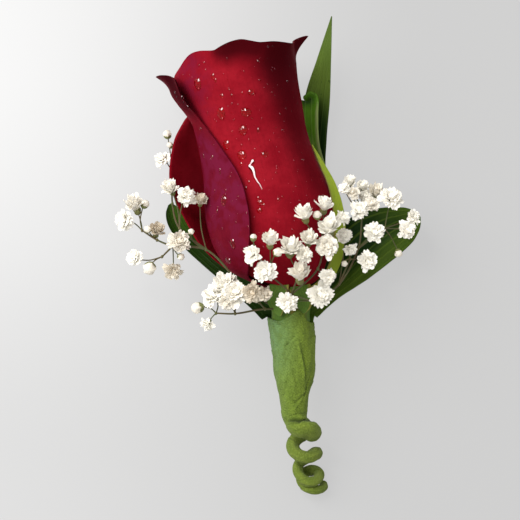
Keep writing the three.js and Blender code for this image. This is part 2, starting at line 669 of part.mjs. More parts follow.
// Everything below the surface that the boutonniere lies on is pressed flat.
const surfaceNormal = [0, Math.sin(LIE_SLOPE), Math.cos(LIE_SLOPE)];
const flattened = (made) => made.trimByPlane(surfaceNormal, -LIE_HEIGHT);

const laid = new THREE.Group();
laid.rotation.x = LIE_SLOPE;
laid.position.set(LIE_SHIFT[0], LIE_SHIFT[1], LIE_HEIGHT);

function add(name, made, look) {
  const mesh = new THREE.Mesh(geometryOf(made), new THREE.MeshStandardMaterial(COLOURS[look]));
  mesh.name = name;
  laid.add(mesh);
}

add("rose_bloom", flattened(bloom()), "petal");
add("rose_stem", roseStem(), "calyx");
for (const name of Object.keys(LEAVES)) add(name, flattened(leaf(name)), "leaf");
for (const name of Object.keys(SPRAYS)) add(name, spray(name), "floret");
add("stem_tape", flattened(tape()), "tape");
add("florist_wire", wire(), "wire");

const boutonniere = new THREE.Group();
boutonniere.add(laid);

export default boutonniere;
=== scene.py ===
import math

import bpy
import numpy as np
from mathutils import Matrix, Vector
from mathutils.bvhtree import BVHTree


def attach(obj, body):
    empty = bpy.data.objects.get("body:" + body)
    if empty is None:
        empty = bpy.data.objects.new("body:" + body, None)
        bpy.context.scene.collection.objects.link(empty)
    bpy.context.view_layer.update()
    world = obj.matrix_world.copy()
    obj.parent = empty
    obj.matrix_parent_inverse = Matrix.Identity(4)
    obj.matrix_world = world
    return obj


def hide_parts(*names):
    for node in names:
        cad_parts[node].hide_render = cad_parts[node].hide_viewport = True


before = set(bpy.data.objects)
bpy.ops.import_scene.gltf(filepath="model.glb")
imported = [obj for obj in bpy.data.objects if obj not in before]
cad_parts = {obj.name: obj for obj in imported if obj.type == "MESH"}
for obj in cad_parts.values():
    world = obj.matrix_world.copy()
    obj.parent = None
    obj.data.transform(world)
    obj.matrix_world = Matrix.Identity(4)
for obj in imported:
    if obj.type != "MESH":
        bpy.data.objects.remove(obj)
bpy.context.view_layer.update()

# The rose boutonniere's looks. Lengths are millimetres in U, V, W until lay() turns them into metres
# of the model's frame: U across the face, V along it from the curl to the bud's rim, W to the viewer.
MM = 0.001
LIE_SLOPE = math.radians(4.4)  # the bud lies this much higher at its rim
LIE_HEIGHT = 12.95  # of U = V = W = 0 over the surface
LIE_SHIFT = (5.57, -15.74)
SHARP = 60  # degrees between faces from which an edge stays sharp
PIXEL = 0.24  # millimetres a pixel of the 520 x 520 frame
PIXEL_ORIGIN = (291, 320)  # the pixel at U = V = 0
FRAME_MIDDLE = (260, 260)
FRAME_WIDTH = 520 * PIXEL

# The closed bud: V, U of its axis, radius.
BUD = [
    (7.9, 0, 3.9), (9.5, -1.1, 7.2), (12, -2.4, 10), (17, -3.6, 12.4), (22, -4.2, 13.6), (28, -5.2, 13.8),
    (34, -6.4, 13.2), (40, -8, 12.6), (46, -9.5, 12.5), (52, -11, 13.2), (58, -12.4, 13.7),
    (63, -12.9, 13.8), (67, -12.9, 13.5),
]
# Outer petals: turn and half width in degrees round the bud, rim height by the place across, extra
# radius by height, a tip that pulls the rim out, and how far the top edge rolls.
OUTER_PETALS = [
    dict(
        turn=15, stand=0.4, foot=7.1, roll=1.3, half=[(8, 40), (10, 80), (14, 102), (20, 110), (67, 110)],
        rim=[
            (-1, 56), (-0.93, 58.4), (-0.77, 60.7), (-0.645, 62.6), (-0.56, 63.8), (-0.47, 64.4),
            (-0.345, 64.6), (-0.27, 65.8), (-0.197, 66.8), (-0.11, 67.45), (-0.03, 67.1), (0.035, 66.8),
            (0.145, 67.05), (0.31, 66.75), (0.47, 66.85), (0.62, 66.9), (0.8, 65), (1, 60),
        ],
        flare=[(8, 0), (60, 0), (63, 0.3), (65, 0.8), (67, 1.6)], lift=[(8, 0), (67, 0)],
        tip=dict(at=0.66, width=0.075, reach=3.5, rise=1.9, deep=0.055, power=2),
    ),
    dict(
        turn=-95, stand=1.15, foot=7.4, roll=0.1,
        half=[
            (8, 20), (9.6, 32), (12, 56), (17, 69), (24, 75), (31, 74), (36, 69), (42, 56), (49, 39),
            (59, 38),
        ],
        rim=[(-1, 55), (-0.5, 58), (0, 58.9), (0.6, 58.9), (1, 57.6)],
        flare=[
            (8, 1), (11, 1.4), (17, 1.2), (24, 0.95), (31, 0.4), (46, 0.3), (48, 0.55), (50, 1.2),
            (52, 2.1), (54, 2.8), (56, 2.9), (57.5, 3), (59, 3.6),
        ],
        lift=[(8, 0), (59, 0)], tip=dict(at=0.1, width=0.3, reach=1.9, rise=-0.4, deep=0.07, power=1.5),
    ),
    dict(
        turn=163, stand=0.95, foot=7.4, roll=1.4,
        half=[(8, 26), (12, 48), (17, 52), (30, 46), (50, 38), (63, 32)],
        rim=[(-1, 55), (-0.5, 61), (0, 63.5), (0.5, 61), (1, 55)],
        flare=[(8, 0), (54, 0), (60, 1), (64, 2.2)], lift=[(8, 0), (64, 0)],
        tip=dict(at=0, width=0.2, reach=1, rise=0.5, deep=0.1, power=1.5),
    ),
    dict(
        turn=-135, stand=1.9, foot=7.6, roll=0.3,
        half=[(8, 14), (12, 35), (17, 45), (24, 50), (34, 50), (43, 44), (48, 28), (51, 8)],
        rim=[(-1, 50), (0, 51), (1, 50)], flare=[(8, 0), (51, 0)],
        lift=[
            (8, 0), (12, 1.2), (17, 2.9), (24, 5.1), (30, 7.1), (35, 7.5), (43, 4.8), (48, 1.8),
            (51, 0.4),
        ],
        tip=dict(at=0, width=0.2, reach=0, rise=0, deep=0.1, power=1.5),
    ),
]
FRONT, VIOLET, BACK = 0, 1, 2  # which petal of these is which; the fourth stands out at the left
PETAL_THICKNESS = 0.42
PETAL_GRID = (96, 80)
PETAL_UNEVEN = 0.16
RIM_RIPPLE = 0.45
ROLL_FROM = 0.88  # share of a petal's height from which its rim rolls out
SIDE_OFF = 0.35  # how far its sides stand off
BULGE = 2.0  # how far the first petal bulges at its upper left
DENT = 0.55  # how deep the fold is that runs down from its rim
# How far the first petal swells at the right, where the long sepal lies on it, by height.
RIGHT_SWELL = [
    (14, 0), (20, 0.9), (24, 1.5), (29, 1.55), (32, 1.3), (36, 0.95), (42, 0.6), (47, 0.4), (52, 0.25),
    (60, 0.1),
]
# Crimson, violet and dark of the red petals and of the violet one. The violet is partly painted sheen of
# light from the upper left and, on the violet petal, partly the colour of its back; the dark is painted
# shade and also darkens the streaks.
RED_PETALS = ((0.26, 0.0062, 0.0145), (0.178, 0.00765, 0.0255), (0.0408, 0.0017, 0.0034))
VIOLET_PETAL = ((0.128, 0.0034, 0.0102), (0.14, 0.0085, 0.0306), (0.0255, 0.00085, 0.00255))
# The solid heart of the bud: its heights and how far it lies inside the petals, more at its top.
CORE_HEIGHTS = (7.9, 8.6, 9.5, 12, 17, 24, 32, 42, 50, 55.4)
CORE_TOP = 56
CORE_INSET = 0.7
CORE_TOP_INSET = 3
CORE_SIDES = 64
# The spiral of inner petals: radius of the first, how much less the next one's is, turn to the next
# and half width in degrees, height of foot and rim, how much lower the rim is at the left.
INNER_PETALS = 11
INNER_RADIUS = 11.4
INNER_STEP = 0.98
INNER_TURN = 137.5
INNER_HALF = 118
INNER_FOOT = 46
INNER_RIM = 64.4
INNER_LOW = 3.4
INNER_THICKNESS = 0.3
INNER_GRID = (48, 14)

# The receptacle and the cut stem below it: V, U of the middle, radius.
RECEPTACLE = [
    (-15, 0.9, 1.7), (-3, 0.1, 1.7), (-1, 0, 4.4), (1.8, 0, 4.6), (3.8, -0.1, 4.9), (5.2, -0.3, 5.3),
    (6.8, -0.5, 5.4), (7.7, -0.5, 5),
]
RECEPTACLE_TOP = 7.5  # the height at which its mesh ends inside the bud
RECEPTACLE_GRID = (60, 40)
# Sepals, the long one first: line from foot to tip, full widths at foot, middle and tip, the way the
# upper side looks.
SEPALS = [
    dict(
        line=[
            (2.6, 5.2, 2.6), (8, 9.2, 5.2), (10.8, 14.6, 5.2), (11.7, 20.5, 4.3), (11.3, 26.5, 3.5),
            (9.8, 32.4, 2.9), (7.5, 37.4, 2.5), (5.1, 42.2, 2),
        ],
        widths=(1.2, 1.55, 0.35), face=(0.55, 0.1, 0.85),
    ),
    dict(
        line=[(-2.6, 8.4, 4.5), (-3.2, 4.6, 5.4), (-2.6, 0.9, 5.6)], widths=(2.6, 2.6, 1),
        face=(-0.5, -0.2, 0.9),
    ),
    dict(
        line=[(2.1, 8.2, 4.7), (3, 4.6, 5.3), (3.2, 1.6, 5.2)], widths=(2.6, 2.4, 0.9),
        face=(0.4, -0.2, 0.9),
    ),
    dict(
        line=[(-4.8, 7, -0.6), (-5.4, 5.4, -0.3), (-5.4, 3.9, 0)], widths=(1.9, 1.4, 0.5),
        face=(-1, -0.2, 0.1),
    ),
    dict(
        line=[(-1.6, 7, -4.4), (-1.8, 5.6, -5), (-1.7, 4.2, -5.1)], widths=(1.9, 1.4, 0.5),
        face=(-0.1, -0.2, -1),
    ),
]
SEPAL_THICKNESS = 0.5
SEPAL_COLUMNS = 12
# Rows of the mesh and how pale the upper side is: the long sepal and the short ones.
LONG_SEPAL, SHORT_SEPAL = (70, 0.75), (20, 0.0)
SEPAL_TROUGH = 0.25
SEPAL_COLOURS = ((0.082, 0.168, 0.026), (0.306, 0.391, 0.0298), (0.035, 0.085, 0.014))
SEPAL_EDGE = (0.28, 0.24, 0.05)
SEPAL_VEINS = 7

# Leaves: middle line from inside the tape to the tip, half widths by the share of the line, and on
# the left of it where they differ, the way the upper side looks, how far the middle sinks for the
# width, pairs of veins, and paler and darker patches: share, place across, their spreads, how much.
# vein_shade: how pale the veins are. greens: the leaf's own, its pale and its dark one.
LEAVES = {
    "leaf_tall": dict(
        line=[
            (0.4, -6, -3.6), (0.4, 0.5, -3.7), (0.4, 1.9, -3.8), (1.6, 4, -6.6), (5, 11, -12),
            (7, 22, -13.7), (5.9, 34, -13.2), (5.7, 44, -11.8), (6.7, 54, -10), (8.1, 62.4, -8.2),
            (10, 73.7, -6.4),
        ],
        widths=[
            (0, 0.65), (0.2, 0.65), (0.3, 1.1), (0.4, 2.6), (0.5, 4.3), (0.56, 3.8), (0.63, 3.05),
            (0.7, 3.35), (0.8, 3.15), (0.9, 1.9), (1, 0.1),
        ],
        face=(-0.3, 0, 1), trough=0.16, veins=5,
        patches=[(0.54, 0, 0.25, 3, -1.35), (0.98, 0, 0.12, 3, -0.4), (0.86, -0.7, 0.06, 0.8, 0.3)],
        vein_shade=0.12, greens=[(0.115, 0.183, 0.026), (0.14, 0.21, 0.045), (0.007, 0.027, 0.003)],
    ),
    "leaf_folded": dict(
        line=[
            (2.7, -5, -2.4), (2.8, 0.5, -2.5), (2.9, 1.9, -2.6), (4.7, 4, -4.6), (9, 13, -9.8),
            (9.4, 23, -10.4), (7.9, 33, -9.4), (5.2, 42, -8.6), (4.6, 49.4, -7), (4.7, 52.7, -6.6),
            (4.8, 53.6, -7.5), (4.8, 52.6, -8.6),
        ],
        widths=[
            (0, 0.65), (0.18, 0.65), (0.27, 1), (0.36, 1.8), (0.5, 1.9), (0.63, 2.1), (0.75, 2.3),
            (0.85, 2.2), (0.94, 1.6), (1, 0.5),
        ],
        face=(-0.25, 0, 1), trough=0.3, veins=3,
        # The darker patch near the bent tip is painted shade.
        patches=[(0.7, 0.85, 0.14, 0.2, 1), (0.88, -0.4, 0.1, 1.2, -0.9), (0.62, 0.1, 0.05, 0.6, 0.3)],
        vein_shade=0.1, greens=[(0.095, 0.26, 0.008), (0.34, 0.44, 0.15), (0.014, 0.05, 0.004)],
    ),
    "leaf_right": dict(
        line=[
            (3.6, -5, 0), (3.7, 0.5, 0), (3.8, 2, -0.1), (6.4, 3.9, -1.6), (11.8, 9.6, -5.2),
            (16.9, 15.6, -6.6), (23.6, 21.2, -6.4), (31.4, 25.2, -5.8),
        ],
        widths=[
            (0, 0.65), (0.06, 1.2), (0.1, 1.75), (0.143, 2), (0.2, 2.4), (0.286, 3.2), (0.36, 2.95),
            (0.43, 2.6), (0.5, 3), (0.571, 4.2), (0.65, 5.7), (0.714, 6.3), (0.78, 6.6), (0.857, 6.5),
            (0.93, 5.4), (0.97, 3.6), (0.99, 2), (1, 0.5),
        ],
        left=[
            (0, 0.65), (0.28, 1.7), (0.4, 2.4), (0.5, 4.5), (0.6, 7), (0.65, 8.1), (0.78, 8.4),
            (0.857, 6.7), (0.93, 4.4), (0.965, 3.2), (0.99, 1.6), (1, 0.5),
        ],
        face=(-0.2, 0.25, 1), trough=0.14, veins=7,
        # The first darker patch, on the wide upper side, is partly painted shadow behind the florets.
        patches=[(0.6, -0.75, 0.28, 0.9, -1.2), (0.8, 0, 0.2, 0.4, -0.5), (0.62, 0.6, 0.35, 0.4, 0.45)],
        vein_shade=0.35, greens=[(0.043, 0.088, 0.005), (0.12, 0.19, 0.019), (0.008, 0.032, 0.003)],
    ),
    "leaf_left": dict(
        line=[
            (-3.1, -5, -1.8), (-3.2, 0.5, -1.9), (-3.3, 1.9, -2), (-5.6, 3.7, -4.3), (-13, 9.7, -10.4),
            (-19.6, 15.4, -13.3), (-25.1, 21.1, -13.5), (-29.3, 28.2, -11.8),
        ],
        widths=[
            (0, 0.65), (0.26, 1.9), (0.4, 2.7), (0.5, 2.8), (0.65, 2.9), (0.8, 3), (0.93, 2.2), (1, 0.3),
        ],
        left=[
            (0, 0.65), (0.06, 1.3), (0.1, 2), (0.143, 2.45), (0.2, 2.9), (0.286, 3.7), (0.34, 4.1),
            (0.43, 3.7), (0.5, 3.35), (0.6, 2.95), (0.8, 3.15), (0.88, 3.3), (0.94, 3.1), (0.98, 2.1),
            (1, 0.7),
        ],
        face=(0.1, 0.2, 1), trough=0.16, veins=5, patches=[(0.97, 0.2, 0.13, 0.9, 0.8)], vein_shade=0.15,
        greens=[(0.011, 0.034, 0.003), (0.05, 0.13, 0.012), (0.005, 0.018, 0.002)],
    ),
}
LEAF_THICKNESS = 0.42
LEAF_GRID = (28, 110)

# The taped handle: U, V, W of its middle line, radius; then the curl: turns, U and V of its axis,
# radius of the turn, radius of the taped wire.
HANDLE = [
    (0, 1.2, 0, 5.7), (0.15, -1.5, 0, 5.75), (0.55, -5.5, 0, 5.45), (0.9, -10.5, 0, 5.1),
    (0.85, -14.8, 0, 4.6), (0.7, -18.2, 0, 3.7), (0.8, -21.2, 0, 3.35), (1.1, -23.8, 0.3, 2.9),
    (2, -25.9, 1.7, 2.55),
]
CURL = [
    (0.06, 2.9, -25.2, 2, 2.5), (0.25, 3, -27.2, 2.1, 2.4), (0.5, 3.1, -28.5, 2.4, 1.9),
    (0.75, 3.3, -29.9, 2.8, 1.6), (1, 3.4, -31.3, 2.9, 1.55), (1.25, 3.4, -32.4, 2.85, 1.5),
    (1.5, 3.7, -33.8, 2.7, 1.35), (1.75, 4.2, -35.3, 2.5, 1.25), (2, 4.4, -36.4, 2.45, 1.3),
    (2.25, 4.5, -37.1, 2.45, 1.25), (2.5, 4.8, -37.8, 2.45, 1.4), (2.75, 5.1, -38.7, 2.6, 1.2),
    (3, 5.3, -39.7, 2.7, 1.15), (3.3, 5.5, -40.6, 2.6, 1),
]
# How far each part of the curl has slid along V from an even coil, by the turn.
CURL_SLIDE = [
    (0.06, 0), (0.4, -0.1), (0.75, -0.9), (1, -0.6), (1.25, 0), (1.5, -1.4), (1.75, -1.5), (2, -1.9),
    (2.12, -1.6), (2.25, -0.9), (2.5, -0.25), (2.75, -0.3), (3, -0.5), (3.3, -0.1),
]
CURL_TILT = math.radians(28)
CURL_AXIS_START = (-25.2, -0.2)
CURL_STEPS = 32
# Height of the tape's top edge round the handle: degrees from the front towards +U, millimetres.
TOP_EDGE = [
    (-180, 0.9), (-120, 0.9), (-70, 0.6), (-32, -0.15), (-8, 0.7), (16, 2.2), (30, 1.9), (44, -0.5),
    (90, -0.9), (130, 0.4), (180, 0.9),
]
# Where an edge of the wound tape shows on the handle: height at the front, rise round to +U.
SEAMS = [(-5.6, 2.6), (-18.6, 7), (-25.6, -1.2)]
WRAP = 5.2  # one turn of tape along the curl
# Creases of the handle: place round it, height at the middle, slant, half length and width, height.
CREASES = [
    (2, -10.6, -0.16, 4.8, 0.3, 0.36), (2.6, -10.9, -0.16, 4.6, 0.3, -0.26),
    (-0.9, -5.2, 1.1, 1.6, 0.4, -0.22), (4.4, -15.6, 0.42, 4, 0.4, 0.26),
    (3.7, -16.4, 0.42, 3.6, 0.34, -0.28), (-1.6, -7.8, 0.5, 2.4, 0.4, 0.16),
    (-2.4, -8.2, 0.5, 2.4, 0.35, -0.14), (-0.6, -13.6, -0.3, 3.4, 0.35, 0.14),
    (0.4, -14.2, -0.25, 3.2, 0.35, -0.16), (-2.6, -15.6, 0.2, 2.8, 0.4, 0.14),
    (1.5, -19, 1.2, 1.2, 0.4, -0.24), (0.2, -19.6, -1, 1, 0.4, -0.2), (1, -20.6, 0.8, 1.4, 0.45, 0.18),
    (-4.4, -11.5, 0.1, 3.6, 0.5, 0.12), (6.4, -8.5, 0.15, 3.8, 0.5, 0.16), (-7.5, -12, 0.2, 4, 0.5, 0.14),
    (9, -13, -0.2, 4, 0.5, 0.14), (12, -9, 0.2, 4, 0.5, -0.14), (-11.5, -8, -0.2, 4, 0.5, 0.14),
]
# How the tape's top edge folds in and closes round the stems: inset and rise from the edge.
MOUTH = [(0.25, 0.03), (0.55, -0.1), (0.75, -0.8), (1.1, -2.2), (2.6, -2.9)]
MOUTH_LEVEL = 0.65  # how level its last two rings are
SEAM_STEP = 0.17  # how far the tape steps out below a seam of the handle
COIL_STEP = 0.16  # and at each turn of tape on the curl
PINCH_DEPTH = 0.35  # the hollow at the right of the handle
# The fold pressed into the tape above the curl: height at the front, slant round it, width, depth.
TUCK_HEIGHT = -25.5
TUCK_SLANT = 0.75
TUCK_WIDTH = 0.34
TUCK_DEPTH = 0.65
TAPE_ROWS = 600
TAPE_SIDES = 112
TAPE_SHARP = 50
WIRE_RADIUS = 0.32
WIRE_START = [(-2.2, -5.5, 0.4), (-1.55, -15.6, 0.4)]  # beside the cut stem
WIRE_JOINS = 5  # the handle point where the wire reaches the middle line
WIRE_STEPS = 420
WIRE_SIDES = 10

# Sprigs of baby's breath. forks: parent, U, V, W. florets: fork, U, V, W, diameter, turn, rise of
# the way it faces, and how beige it is where that isn't drawn; a listed beige is partly painted shade.
# buds: the same without the last.
SPRAYS = {
    "spray_left": dict(
        forks=[
            (0, -3.1, -5, 1.6), (0, -3.5, 1.9, 1.9), (1, -11.2, 7.6, 4.2), (2, -20.4, 16.9, 5),
            (3, -28.4, 17.8, 5.2), (4, -32.2, 19.2, 5), (5, -35.8, 21.5, 4.6), (3, -26.8, 22, 5.2),
            (7, -28.6, 28, 1.4), (8, -28.6, 34, -2.2), (4, -31, 15.2, 5),
        ],
        florets=[
            (6, -38, 28.6, 4.4, 4.8, -35, 55), (6, -40.2, 24, 5, 5.2, -30, 0),
            (5, -31.9, 22, 6, 4, 20, 40, 0.8), (3, -26.9, 19, 8.4, 5.6, 10, 10),
            (10, -37.7, 15.1, 4.8, 4.4, -30, 20), (4, -28.3, 11.8, 5.8, 4.8, 0, -20, 0.6),
            (7, -29.3, 32.2, 5.4, 4, -25, 40), (7, -25.2, 29.9, 6.4, 5, 20, 25),
            (3, -21.6, 29.2, 6.2, 3.2, 10, 45, 0.7), (9, -31.2, 38.9, -2.6, 4.2, -50, 30),
        ],
        buds=[
            (6, -35.2, 27.8, 3.6, 2, 50, 50), (5, -34.4, 21.7, 6.2, 1.8, -10, 30),
            (3, -24, 21.1, 7.6, 1.5, 20, 40), (10, -34, 12.5, 5.2, 3.1, -10, -30),
            (4, -26.5, 15.2, 6.4, 1.7, 40, -20), (9, -29.9, 44.8, -2.9, 2, -20, 60),
            (9, -29.2, 42.2, -3, 1.5, -50, 40),
        ],
    ),
    "spray_low": dict(
        forks=[
            (0, -2, -5, 3.1), (0, -2.2, 1.9, 3.5), (1, -6.2, 2.6, 5.6), (2, -13.4, 1.5, 6),
            (3, -18, 1.6, 5.6), (2, -7.6, 4.2, 7.6),
        ],
        florets=[
            (4, -18.8, 6, 6.2, 5.8, -30, 30), (3, -16.1, 9, 7.2, 6.4, -15, 40),
            (3, -13.4, 6.6, 9, 6.6, 0, 20), (5, -9.3, 6.7, 11.2, 5.2, -5, -5, 0.75),
            (5, -6.3, 6.3, 10.4, 4.2, 40, 20, 0.6), (4, -20.2, -1, 5.4, 3.7, -60, -50),
            (3, -15.4, 4.4, 8.6, 4.6, -20, -20, 0.4),
        ],
        buds=[(4, -22.4, 2.9, 5.2, 2.8, -60, -10)],
    ),
    "spray_centre": dict(
        forks=[
            (0, 0.8, -5, 3.6), (0, 0.8, 1.9, 4.1), (1, 0, 6, 9), (2, -4.8, 10.6, 13.2),
            (2, 2.2, 11.8, 13.2), (2, 6.4, 12.4, 11.8), (5, 7.8, 19.2, 13.2), (2, 4.9, 4.6, 9),
        ],
        florets=[
            (3, -9.3, 15.8, 16.4, 4.9, -35, 10), (3, -6.3, 11.7, 15.6, 5.7, -10, -5),
            (3, -5, 19.8, 18.2, 4.2, 0, 55), (4, -0.3, 18, 18.2, 5.3, 0, 42),
            (4, 4.3, 19.9, 16.8, 4.1, 5, 40, 0.3), (4, 3, 15.8, 17.6, 4.2, 15, 10, 0.3),
            (4, 2.1, 11.9, 15.6, 5.2, 0, 50), (5, 8.5, 17.8, 15.6, 6, 5, 10),
            (5, 8.9, 10.3, 12.6, 4.1, 25, 0), (7, 7, 6.1, 10.8, 6.2, 10, 0),
            (7, -1, 4.2, 10.2, 4.9, -5, -5), (6, 8.8, 22.9, 15.4, 5.3, -10, 45),
            (6, 2.9, 26.2, 17.2, 4.4, -25, 60), (6, 8, 28.3, 13.8, 4.3, 10, 60),
            (6, 12.3, 24.4, 12.4, 3.7, 30, 20),
        ],
        buds=[
            (3, -9, 19.7, 17, 1.6, 20, 80), (3, -3.3, 16.2, 17, 2.2, 30, 20),
            (6, 6.2, 25, 15.6, 2, -10, 50),
        ],
    ),
    "spray_right": dict(
        forks=[
            (0, 3.2, -4.6, 2.1), (0, 3.4, 1.9, 2.3), (1, 11.6, 8.6, 6.4), (2, 16.2, 17.2, 5.6),
            (3, 17.2, 25.2, 4.2), (3, 22.6, 22, 3.8), (2, 14.2, 14.6, 7.4),
        ],
        florets=[
            (4, 16.2, 26.4, 7.6, 4.6, 0, 20), (4, 19.4, 27.8, 6.2, 4, 15, 30),
            (3, 20, 21.1, 8.4, 4.9, 5, 5), (6, 18.5, 14.1, 8.6, 4.9, 10, -5),
            (5, 24.2, 29.4, 5.6, 6, 10, 33), (5, 29.7, 24.8, 3.6, 3.8, 30, 15),
            (5, 28, 21.6, 5, 4.6, 15, -5), (4, 14.2, 33.6, 2.6, 3.2, -5, 45),
            (4, 12.9, 31.6, 6, 3, -10, 35), (4, 15, 30.6, 5.6, 3.5, -20, 20),
            (4, 17.3, 32.4, 3, 3.3, 5, 40), (4, 18, 29.8, 3, 3.4, 0, 20), (4, 20.6, 31.4, 3, 3.9, 15, 40),
            (2, 12.8, 20.2, 9, 3.8, -5, 10), (6, 14.3, 16.9, 10.4, 3.3, 20, -40),
        ],
        buds=[(5, 25.9, 16.1, 4.4, 1.9, 20, -50), (6, 12.8, 13.6, 9.6, 1.5, 0, -30)],
    ),
}
# Petals of a flower seen open, and of one still a cup: how many, tip radius and height, half width,
# how far they arch, all by the flower's size.
OPEN = [
    (10, 0.58, 0.34, 0.15, 0.1), (9, 0.5, 0.47, 0.15, 0.12), (8, 0.4, 0.59, 0.14, 0.12),
    (7, 0.28, 0.68, 0.13, 0.1), (5, 0.16, 0.73, 0.12, 0.06),
]
CUP = [
    (9, 0.51, 0.72, 0.155, 0.05), (8, 0.42, 0.86, 0.15, 0.04), (7, 0.3, 0.94, 0.14, 0.03),
    (5, 0.16, 0.97, 0.12, 0.02),
]
# Outlines of a flower's calyx and bumpy heart, and of a bud's calyx and petals: radius and height.
CALYX = [(0.05, 0), (0.12, 0.05), (0.155, 0.13), (0.165, 0.22), (0.15, 0.3), (0.06, 0.3)]
HEART = [(0.06, 0.3), (0.13, 0.44), (0.15, 0.54), (0.11, 0.61), (0.05, 0.64)]
BUD_CALYX = [(0.1, 0), (0.3, 0.12), (0.45, 0.35), (0.47, 0.55), (0.42, 0.66)]
BUD_PETALS = [(0.3, 0.3), (0.44, 0.5), (0.5, 0.72), (0.44, 0.95), (0.28, 1.1), (0.1, 1.16)]
CUP_HEART = 1.3  # how much higher the heart sits in a cup
CUP_RISE = 38  # from this rise on a flower is a cup
CUP_GROWN = 1.16
# How far the foot of each kind lies behind the place listed, for its diameter.
OPEN_FOOT, CUP_FOOT, BUD_FOOT = 0.42, 0.72, 0.6
BEIGE = (0.12, 0.14)  # middle and spread of the draw
FLORET_THICKNESS = 0.11
FLORET_GRID = (8, 5)
FLORET_SIDES = 10
BUD_SIDES = 12
FLORET_SHARP = 45
BUD_TONE = 0.5
TWIG_RADII = (0.33, 0.25, 0.2)  # at the foot of a sprig, of its side twigs, at their ends
KNOT_RADII = (0.12, 0.3, 0.37, 0.3, 0.1)
KNOT_HALF = 0.45
TWIG_SIDES = 7
STALK_RADII = (0.18, 0.14)
STALK_STEPS = 14
STALK_SIDES = 6

# Drops on the petals: place in the photo's frame, half width and half height in pixels.
DROPS = [
    (197.6, 81.5, 2.2, 3), (213, 75, 1.4, 2.2), (215.4, 79.5, 1, 1.6), (204, 62, 1, 1),
    (199, 64.6, 0.8, 1), (268, 46, 1.2, 0.9), (272.8, 45.7, 0.9, 0.8), (258.5, 60.6, 1.3, 1),
    (221.8, 95, 1.6, 1.7), (242.4, 92, 0.9, 1.2), (251, 91, 1.8, 1.5), (253.9, 93.3, 1.2, 1.2),
    (221, 111, 2.3, 3.2), (245.9, 110.5, 2.8, 2.2), (243, 128, 2.2, 2.6), (258.5, 129, 1.2, 2),
    (226.3, 142.7, 2, 2.6), (241.8, 153, 2.5, 2.5), (264.8, 153, 2, 1.5), (241.3, 144.4, 0.9, 1),
    (255, 148.4, 1, 1), (283.2, 129.5, 1.2, 0.9), (259.6, 79.5, 1, 0.9), (175, 91.6, 1.2, 1),
    (182.7, 96.2, 1.2, 1.5), (188.5, 105.4, 1, 1.4), (192.5, 122.6, 0.9, 1.3), (200.5, 128.3, 1, 1.2),
    (203.4, 154.7, 1.2, 2), (212, 155.9, 1.3, 1.3), (199.4, 147.3, 1, 1), (205.5, 69, 0.7, 0.9),
    (231.8, 94.5, 1.2, 1.1), (234, 119, 0.9, 0.8), (228, 88, 0.8, 0.8), (207, 98, 0.8, 0.9),
    (241, 163, 1.3, 1.6), (249, 181, 1.1, 1.4), (258, 197, 1.2, 1.6), (260.5, 201, 1.8, 1.6),
    (264, 204, 1.2, 1.2), (259.5, 209, 1.7, 1.5), (277, 168, 0.9, 1), (276, 172, 0.9, 0.9),
    (278.5, 198.5, 1.2, 1.6), (282.5, 196, 1, 1), (300, 200, 1, 0.8), (303, 159, 1.4, 0.9),
    (223.6, 198, 1.9, 2.8), (225.5, 189.5, 0.8, 1.3), (217, 210, 1, 1.6), (217.5, 206.5, 0.9, 1),
    (246, 187, 0.9, 1.6), (232.5, 241.5, 1.8, 2.6), (231, 241, 0.9, 1.4), (228, 259, 2.3, 1.7),
    (209.5, 221.5, 0.9, 0.8), (246.5, 212, 0.8, 1.1), (220, 170, 0.8, 2.4), (214.5, 190, 0.7, 1.2),
    (213, 238, 0.9, 0.8), (236, 222, 0.8, 0.9), (248, 226, 0.8, 0.9), (222, 228, 0.8, 0.8),
    (293, 229, 1.2, 0.8), (296, 186, 0.9, 0.8), (238, 104, 0.7, 0.8), (252, 118, 0.8, 0.8),
    (270, 140, 0.8, 0.7), (232, 131, 0.8, 0.9), (249, 139, 0.8, 0.8), (262, 118, 0.7, 0.8),
    (216, 121, 0.8, 0.8), (207, 112, 0.7, 0.8), (200, 201, 0.8, 0.9), (206, 187, 0.8, 0.8),
    (230, 176, 0.8, 0.9), (238, 196, 0.8, 0.8), (180, 142, 0.8, 0.6), (181, 172, 0.9, 0.6),
    (227, 58, 0.8, 0.8), (244, 71, 0.7, 0.7), (272, 92, 0.8, 0.6), (286, 108, 0.8, 0.6),
]
# The run of water below them: place and half width in pixels.
RUN = [
    (252.6, 161.3, 2.2), (250.4, 164.4, 1), (249.4, 166.3, 1.6), (252.2, 168.5, 2.6), (253.8, 172.5, 2),
    (254.8, 177, 1.5), (257.2, 181.2, 1.3), (260, 185, 1), (261.9, 188.8, 0.7),
]
RUN_STEPS = 26
RUN_GROWN = 1.1
RUN_SPARK = 0.5
SINK = 0.1  # how far a drop reaches into the petal, in millimetres
DROP_HIGH = 0.42  # how high it stands, for its smaller half size
DROP_SAG = 0.18  # how much longer its lower half is
DROP_LOWER = 0.36  # how far below its listed place it stands, for its half height
# Sides and rings of a drop, of one in the run and of dew.
DROP_GRID, RUN_GRID, DEW_GRID = (16, 6), (14, 5), (8, 2)
LARGE_DROP = 1.6  # half width in pixels from which a drop has a second spark
LARGE_GROWN, LARGE_SPARK = 2.0, 0.17  # how much wider than listed, and its spark's size
SMALL_GROWN, SMALL_SPARK = 1.45, 0.2
SPARK_SIDES = 8
SPARK_STROKE = 1.55  # how much longer and narrower than round a spark is on a drop
FAINT_SPARK = 0.075  # size in millimetres up to which a spark is faint
# Fine dew: how many, its heights, how far round the bud from the front, where its rays start, its
# smallest and largest half width in pixels, the one from which it has a spark, the spark's size.
DEW = 650
DEW_HEIGHTS = (13, 63)
DEW_TURN = 145
DEW_FROM = 40
DEW_SIZES = (0.3, 1.3)
DEW_BRIGHT = 0.6
DEW_SPARK = 0.22

